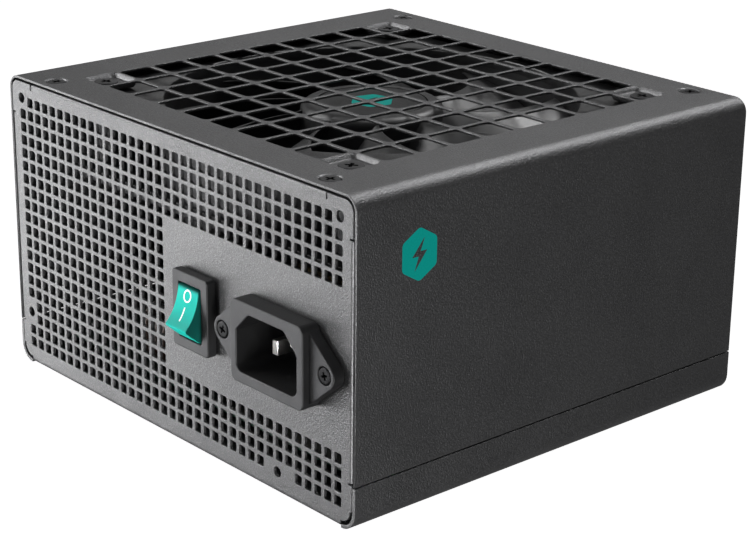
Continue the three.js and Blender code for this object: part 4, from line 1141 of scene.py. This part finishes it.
def make_marks():
    eighth_turn = Matrix.Rotation(QUARTER / 2, 4, "Z")
    hub = moved(mark_plate(11, 14, INK), Matrix.Translation((0, 0, HUB["top"] - 0.01)) @ eighth_turn)
    place_piece("hub_mark", solid_mesh(hub, "hub_mark"), "teal_ink", "fan_rotor")
    on_side = Matrix.Translation((HALF_WIDTH - 0.02, -50.1, 67.9)) @ SIDEWAYS
    side = moved(mark_plate(11.2, 13.8, INK), on_side)
    place_piece("side_mark", solid_mesh(side, "side_mark"), "teal_ink")


# ---------------------------------------------------------------- rocker switch

SWITCH = {"width": 15, "height": 21, "floor": -58.5, "back": -56}
SWITCH_MOUTH = {"width": 9.4, "height": 15.1}

# Where the wide fronts of the switch and the inlet end, and the backs that fit in the panel begin.
HOUSING_SEAT = REAR - 0.3
ROCKER_WIDTH = 8.8
ROCKER_FRONT = [(-2.1, 7.15), (-2.9, 0.5), (-6.5, -2.7)]
ROCKER_REST = [(-6.5, -3.3), (-1.9, -7.2), (2.5, -6.6), (4.5, -4.5), (5.8, 0), (4.5, 4.5), (2.5, 6.6)]
INK = 0.03

# The share of the rocker's front that a millimetre along it takes up.
MARK_PER_MM = 0.088


def make_switch_housing():
    centre = node_centre("switch_housing")
    x, z = centre.x, centre.z
    mouth = rounded_rectangle(x, z, SWITCH_MOUTH["width"], SWITCH_MOUTH["height"], 0.4)
    bezel_outline = rounded_rectangle(x, z, SWITCH["width"], SWITCH["height"], 0.9, 5)
    bezel = facing_rear(bezel_outline, [mouth], cad_box("switch_housing")[0].y, HOUSING_SEAT, 0.35)
    body_outline = rounded_rectangle(x, z, *SWITCH_BODY, 0.5)
    body = facing_rear(body_outline, [mouth], HOUSING_SEAT, SWITCH["floor"], 0.1)
    back = facing_rear(body_outline, [], SWITCH["floor"], SWITCH["back"], 0.2)
    mesh = solid_mesh(merged(bezel, body, back), "switch_moulding")
    place_piece("switch_moulding", mesh, "black_plastic", replaces=["switch_housing"])


def rocker_front(t):
    """A point of the rocker's hollow front and the way the front faces there, in Y and Z."""
    a, b, c = (Vector(p) for p in ROCKER_FRONT)
    place = a * (1 - t) ** 2 + b * 2 * t * (1 - t) + c * t * t
    along = ((b - a) * (1 - t) + (c - b) * t).normalized()
    return place, Vector((along.y, -along.x))


def rocker_origin():
    joint = next(j for j in frame["record"]["behaviour"]["joints"] if j["name"] == "rocker_tip")
    return Vector(joint["pos_m"]) / MM


def make_rocker():
    front = [tuple(rocker_front(i / 10)[0]) for i in range(11)]
    outline = front[:-1] + eased([front[-1], *ROCKER_REST], 0.3)[:-1] + [ROCKER_REST[-1]]
    cap = flat_sheet(outline, [], ROCKER_WIDTH, 0.18, 2)
    pin = disc(1, -5.9, 5.9, 0.2, steps=24)
    whole = moved(merged(cap, pin), Matrix.Translation(rocker_origin()) @ SIDEWAYS)
    mesh = solid_mesh(whole, "rocker_cap")
    place_piece("rocker_cap", mesh, "teal_plastic", "rocker", ["switch_rocker"])


def rocker_mark_point(x, t, lift):
    origin = rocker_origin()
    place, normal = rocker_front(t)
    if normal.x > 0:
        normal = -normal
    spot = place + normal * lift
    return (origin.x + x, origin.y + spot.x, origin.z + spot.y)


def ring_mark(t, radius, width):
    """A ring of ink round a place on the rocker's front."""
    angles = [math.pi * i / 18 for i in range(36)]
    rings = []
    for reach, lift in ((radius - width, -INK), (radius - width, INK), (radius, INK), (radius, -INK)):
        points = [(math.cos(a) * reach, math.sin(a) * reach) for a in angles]
        rings.append([rocker_mark_point(px, t + pz * MARK_PER_MM, lift) for px, pz in points])
    return loft([*rings, rings[0]], caps=False)


def bar_mark(t, length, width):
    """An upright stroke of ink on the rocker's front."""
    half = width / 2
    rings = []
    for i in range(7):
        along = t + (i / 6 - 0.5) * length * MARK_PER_MM
        corners = ((-half, -INK), (-half, INK), (half, INK), (half, -INK))
        rings.append([rocker_mark_point(x, along, lift) for x, lift in corners])
    return loft(rings)


def make_rocker_marks():
    marks = merged(ring_mark(0.19, 1.6, 0.42), bar_mark(0.63, 4.2, 0.42))
    place_piece("rocker_marks", shaded_mesh(marks, "rocker_marks", 35), "white_ink", "rocker")


# ---------------------------------------------------------------- mains inlet

INLET = {"ear_half": 20, "ear_radius": 3.6, "flange_front": -73.7, "back": -57.7, "floor": -59.2}
INLET_BODY = {"width": 28.5, "height": 21.9, "corner": 2, "shoulder": 12.5}
INLET_CAVITY = {"width": 23.7, "height": 16, "chamfer": 5, "corner": 2.3}


def inlet_flange_outline(x, z):
    shoulder = INLET_BODY["height"] / 2 - 0.15
    across = INLET["ear_half"] - INLET_BODY["shoulder"]
    toward = math.degrees(math.atan2(shoulder, -across))
    tangent = toward - math.degrees(math.acos(INLET["ear_radius"] / math.hypot(across, shoulder)))
    right = arc(x + INLET["ear_half"], z, INLET["ear_radius"], -tangent, tangent, 12)
    left = arc(x - INLET["ear_half"], z, INLET["ear_radius"], 180 - tangent, 180 + tangent, 12)
    step = INLET_BODY["shoulder"]
    upper = [(x + step, z + shoulder), (x - step, z + shoulder)]
    lower = [(x - step, z - shoulder), (x + step, z - shoulder)]
    return right + upper + left + lower


def inlet_cavity_outline(x, z, grow=0.0):
    half, top = INLET_CAVITY["width"] / 2 + grow, INLET_CAVITY["height"] / 2 + grow
    chamfer, corner = INLET_CAVITY["chamfer"], INLET_CAVITY["corner"] + grow
    upper = [(x + half, z), (x + half, z + top - chamfer), (x + half - chamfer, z + top), (x, z + top)]
    slanted = eased(upper, 0.5)
    mirrored = [(2 * x - px, pz) for px, pz in reversed(slanted)]
    left = arc(x - half + corner, z - top + corner, corner, 180, 270, 6)
    right = arc(x + half - corner, z - top + corner, corner, 270, 360, 6)
    return slanted[1:-1] + mirrored[1:-1] + left + right


def make_inlet_housing():
    centre = node_centre("inlet_housing")
    x, z = centre.x, centre.z
    front, floor = INLET["flange_front"], INLET["floor"]
    cavity, opening = inlet_cavity_outline(x, z), inlet_cavity_outline(x, z, 0.8)
    ears = [x - INLET["ear_half"], x + INLET["ear_half"]]
    sinks = [circle(ear, z, 2.4, 32) for ear in ears]
    flange = facing_rear(inlet_flange_outline(x, z), [*sinks, opening], front, HOUSING_SEAT, 0.3)
    collar_outline = rounded_rectangle(
        x, z, INLET_BODY["width"], INLET_BODY["height"], INLET_BODY["corner"], 6
    )
    collar = facing_rear(collar_outline, [cavity], cad_box("inlet_housing")[0].y, HOUSING_SEAT + 1, 0.35)
    cut_off(collar, 1, HOUSING_SEAT, -1)
    neck_outline = rounded_rectangle(x, z, *INLET_NECK, 1)
    neck = facing_rear(neck_outline, [cavity], HOUSING_SEAT - 1, floor, 0.2)
    cut_off(neck, 1, HOUSING_SEAT, 1)
    back = facing_rear(neck_outline, [], floor, INLET["back"], 0.2)
    sink = [(2.45, -front - 0.5), (2.45, -front - 1.5), (1.85, -front - 1.9), (1.85, -HOUSING_SEAT)]
    upright = Matrix.Rotation(QUARTER, 4, "X")
    rings = [moved(lathe(sink, steps=32), Matrix.Translation((ear, 0, z)) @ upright) for ear in ears]
    mesh = solid_mesh(merged(flange, collar, neck, back, *rings), "inlet_moulding")
    place_piece("inlet_moulding", mesh, "black_plastic", replaces=["inlet_housing"])


PIN_TAB_LENGTH = 7.4


def make_inlet_pins():
    for name in ("inlet_earth_pin", "inlet_line_pin", "inlet_neutral_pin"):
        low, high = cad_box(name)
        centre = node_centre(name)
        shoulder = high.y - PIN_TAB_LENGTH
        blade = [(low.y, 0.88, 1.85, 0.12), (low.y + 0.25, 1.0, 2.0, 0.15), (shoulder, 1.0, 2.0, 0.25)]
        tab = [(shoulder, 0.4, 2.4, 0.1), (high.y - 1.2, 0.4, 2.4, 0.1), (high.y, 0.25, 1.9, 0.1)]
        whole = merged(prong(centre.x, centre.z, blade), prong(centre.x, centre.z, tab))
        mesh = shaded_mesh(whole, f"{name}_plated", 25)
        place_piece(f"{name}_plated", mesh, "nickel", replaces=[name])


# ---------------------------------------------------------------- output sockets

SOCKET = {"rim": 1.2, "floor": 60.0, "pitch": 4.2, "pin": 0.55, "pin_end": 67.5}


def make_sockets():
    for node in SOCKET_NODES:
        low, high = cad_box(node)
        centre = node_centre(node)
        x, z = centre.x, centre.z
        width, height = high.x - low.x, high.z - low.z
        rim = 2 * SOCKET["rim"]
        outline = rounded_rectangle(x, z, width, height, 0.6)
        mouth = rounded_rectangle(x, z, width - rim, height - rim, 0.4)
        shell = facing_rear(outline, [mouth], SOCKET["floor"] - 0.5, high.y, 0.25)
        floor = facing_rear(outline, [], low.y, SOCKET["floor"], 0.2)
        mesh = solid_mesh(merged(shell, floor), f"{node}_shell")
        place_piece(f"{node}_shell", mesh, "black_plastic", replaces=[node])
        make_socket_pins(node, x, z, round((width - 2.6) / SOCKET["pitch"]))


def make_socket_pins(node, x, z, columns):
    half, end, tip = SOCKET["pin"], SOCKET["pin_end"], SOCKET["pin"] * 0.45
    sections = [
        (SOCKET["floor"] - 0.5, half, half, 0.1),
        (end - 0.8, half, half, 0.1),
        (end, tip, tip, 0.1),
    ]
    pins = []
    for column in range(columns):
        for row in (-0.5, 0.5):
            across = (column - (columns - 1) / 2) * SOCKET["pitch"]
            pins.append(prong(x + across, z + row * SOCKET["pitch"], sections))
    place_piece(f"{node}_pins", shaded_mesh(merged(*pins), f"{node}_pins", 25), "nickel")


# ---------------------------------------------------------------- parts on the main board

CAN = {"edge": 0.9, "groove_low": 2.4, "groove_high": 4.0, "groove_depth": 0.7, "lid": 0.82}
SMALL_CAPACITORS = [(-22, 42, 4.6, 20), (-10, 42, 4.6, 20), (2, 42, 4.0, 16), (14, 43, 4.0, 16)]
COPPER_TURNS = {"common_mode_choke": (22, 1.0), "output_inductor": (26, 1.1)}
TOROID_SECTION_STEPS = 18
BOARD_SCREW_PLACES = [(-62, -54), (62, -54), (62, 45), (-62, 45)]


def capacitor_body(x, y, radius, low, high):
    """A can in its sleeve: a groove is rolled round it near the board and its lid shows on top."""
    lid = radius * CAN["lid"]
    middle = (CAN["groove_low"] + CAN["groove_high"]) / 2
    profile = [
        (0, low),
        (radius - CAN["edge"], low),
        (radius, low + CAN["edge"]),
        (radius, low + CAN["groove_low"]),
        (radius - CAN["groove_depth"], low + middle),
        (radius, low + CAN["groove_high"]),
        (radius, high),
        (lid, high),
        (lid, high - 0.3),
        (0, high - 0.3),
    ]
    return lathe(eased(profile, 0.6), x, y, 40)


def capacitor_lid(x, y, radius, high):
    """The bare lid, with a cross scored in it as a vent."""
    lid = radius * CAN["lid"] - 0.1
    plate = disc(lid, high - 0.35, high - 0.1, 0.1, x, y, 40)
    sizes = ((high + 0.1, 0.35), (high - 0.25, 0.1))
    score = loft([[(px + x, py + y, z) for px, py in plus_outline(lid * 0.7, width)] for z, width in sizes])
    for part in (plate, score):
        bmesh.ops.recalc_face_normals(part, faces=part.faces)
    return boolean_cut(mesh_of(plate, "lid"), mesh_of(score, "score"))


def make_capacitor(name, lid_name, x, y, radius, low, high, replaces=()):
    mesh = shaded_mesh(capacitor_body(x, y, radius, low, high), name, 40)
    place_piece(name, mesh, "capacitor_sleeve", replaces=replaces)
    place_piece(lid_name, capacitor_lid(x, y, radius, high), "aluminium")


def make_capacitors():
    for node in ("bulk_capacitor", "output_capacitor"):
        low, high = cad_box(node)
        centre, radius = node_centre(node), (high.x - low.x) / 2
        make_capacitor(f"{node}_can", f"{node}_lid", centre.x, centre.y, radius, low.z, high.z, [node])
    board = cad_box("bulk_capacitor")[0].z
    for i, (x, y, radius, height) in enumerate(SMALL_CAPACITORS, 1):
        names = (f"small_capacitor_{i}", f"small_capacitor_lid_{i}")
        make_capacitor(*names, x, y, radius, board, board + height)


def flattened(value, power=0.45):
    """Pushes a sine or cosine outwards, so that a circle becomes a rounded square."""
    return math.copysign(abs(value) ** power, value)


def make_toroid(node):
    """A ring core with wire wound round and round it."""
    turns, wire = COPPER_TURNS[node]
    low, high = cad_box(node)
    centre = node_centre(node)
    outer, inner = (high.x - low.x) / 2 - wire, (high.x - low.x) * 0.23
    middle, half = (outer + inner) / 2, (outer - inner) / 2
    rise = (high.z - low.z) / 2 - wire
    path = []
    for i in range(turns * TOROID_SECTION_STEPS):
        around = 2 * math.pi * i / (turns * TOROID_SECTION_STEPS)
        section = 2 * math.pi * i / TOROID_SECTION_STEPS
        radius = middle + half * flattened(math.cos(section))
        z = rise * flattened(math.sin(section))
        x, y = radius * math.cos(around), radius * math.sin(around)
        path.append((centre.x + x, centre.y + y, centre.z + z))
    curve = bpy.data.curves.new("winding", "CURVE")
    curve.dimensions = "3D"
    curve.bevel_depth = wire
    curve.bevel_resolution = 2
    spline = curve.splines.new("POLY")
    spline.points.add(len(path) - 1)
    for point, place in zip(spline.points, path):
        point.co = (*place, 1)
    spline.use_cyclic_u = True
    winding = evaluated_mesh(scratch_object(curve), f"{node}_winding")
    for face in winding.polygons:
        face.use_smooth = True
    place_piece(f"{node}_winding", winding, "copper_winding", replaces=[node])
    low_z, high_z = centre.z - rise + wire, centre.z + rise - wire
    a, b = inner + wire, outer - wire
    ring = eased([(a, low_z), (b, low_z), (b, high_z), (a, high_z)], 1.5, 3, True)
    core = lathe([*ring, ring[0]], centre.x, centre.y, 40)
    place_piece(f"{node}_core", shaded_mesh(core, f"{node}_core", 40), "ferrite")


def make_wound_cores():
    """Transformers and the square inductor: a ferrite frame with a taped winding through it."""
    for node in ("main_transformer", "standby_transformer", "pfc_inductor"):
        low, high = cad_box(node)
        centre, size = node_centre(node), high - low
        outline = rounded_rectangle(centre.x, centre.y, size.x, size.y * 0.4, 0.8)
        core = solid_mesh(facing_up(outline, [], low.z, high.z, 0.5), f"{node}_core")
        place_piece(f"{node}_core", core, "ferrite", replaces=[node])
        half_x, rise, taper = size.x * 0.36, size.z * 0.35, 0.8
        rings = []
        for x, grow in ((-half_x, -taper), (-half_x + taper, 0), (half_x - taper, 0), (half_x, -taper)):
            loop = rounded_rectangle(0, 0, size.y + 2 * grow, 2 * (rise + grow), 3, 5)
            rings.append([(centre.x + x, centre.y + y, centre.z + z) for y, z in loop])
        mesh = shaded_mesh(loft(rings), f"{node}_winding", 40)
        place_piece(f"{node}_winding", mesh, "yellow_film")


def make_board_screws():
    top = cad_box("main_board")[1].z
    head_height = 1.9
    for i, (x, y) in enumerate(BOARD_SCREW_PLACES, 1):
        mesh = screw_mesh(f"board_screw_{i}", head=2.6, head_height=head_height, shank=1.3, length=7)
        mesh.transform(Matrix.Translation((x, y, top + head_height + 0.1)))
        place_piece(f"board_screw_{i}", mesh, "bare_steel")


# ---------------------------------------------------------------- build

make_camera()
make_world()
make_lights()
make_floor(paper_floor("paper"))
finish_cad_nodes()
make_case_sheet()
make_cover()
make_pockets()
make_screw_dimples()
make_screws()
make_fan_frame()
make_impeller()
make_hub_label()
make_marks()
make_switch_housing()
make_rocker()
make_rocker_marks()
make_inlet_housing()
make_inlet_pins()
make_sockets()
make_capacitors()
make_toroid("common_mode_choke")
make_toroid("output_inductor")
make_wound_cores()
make_board_screws()
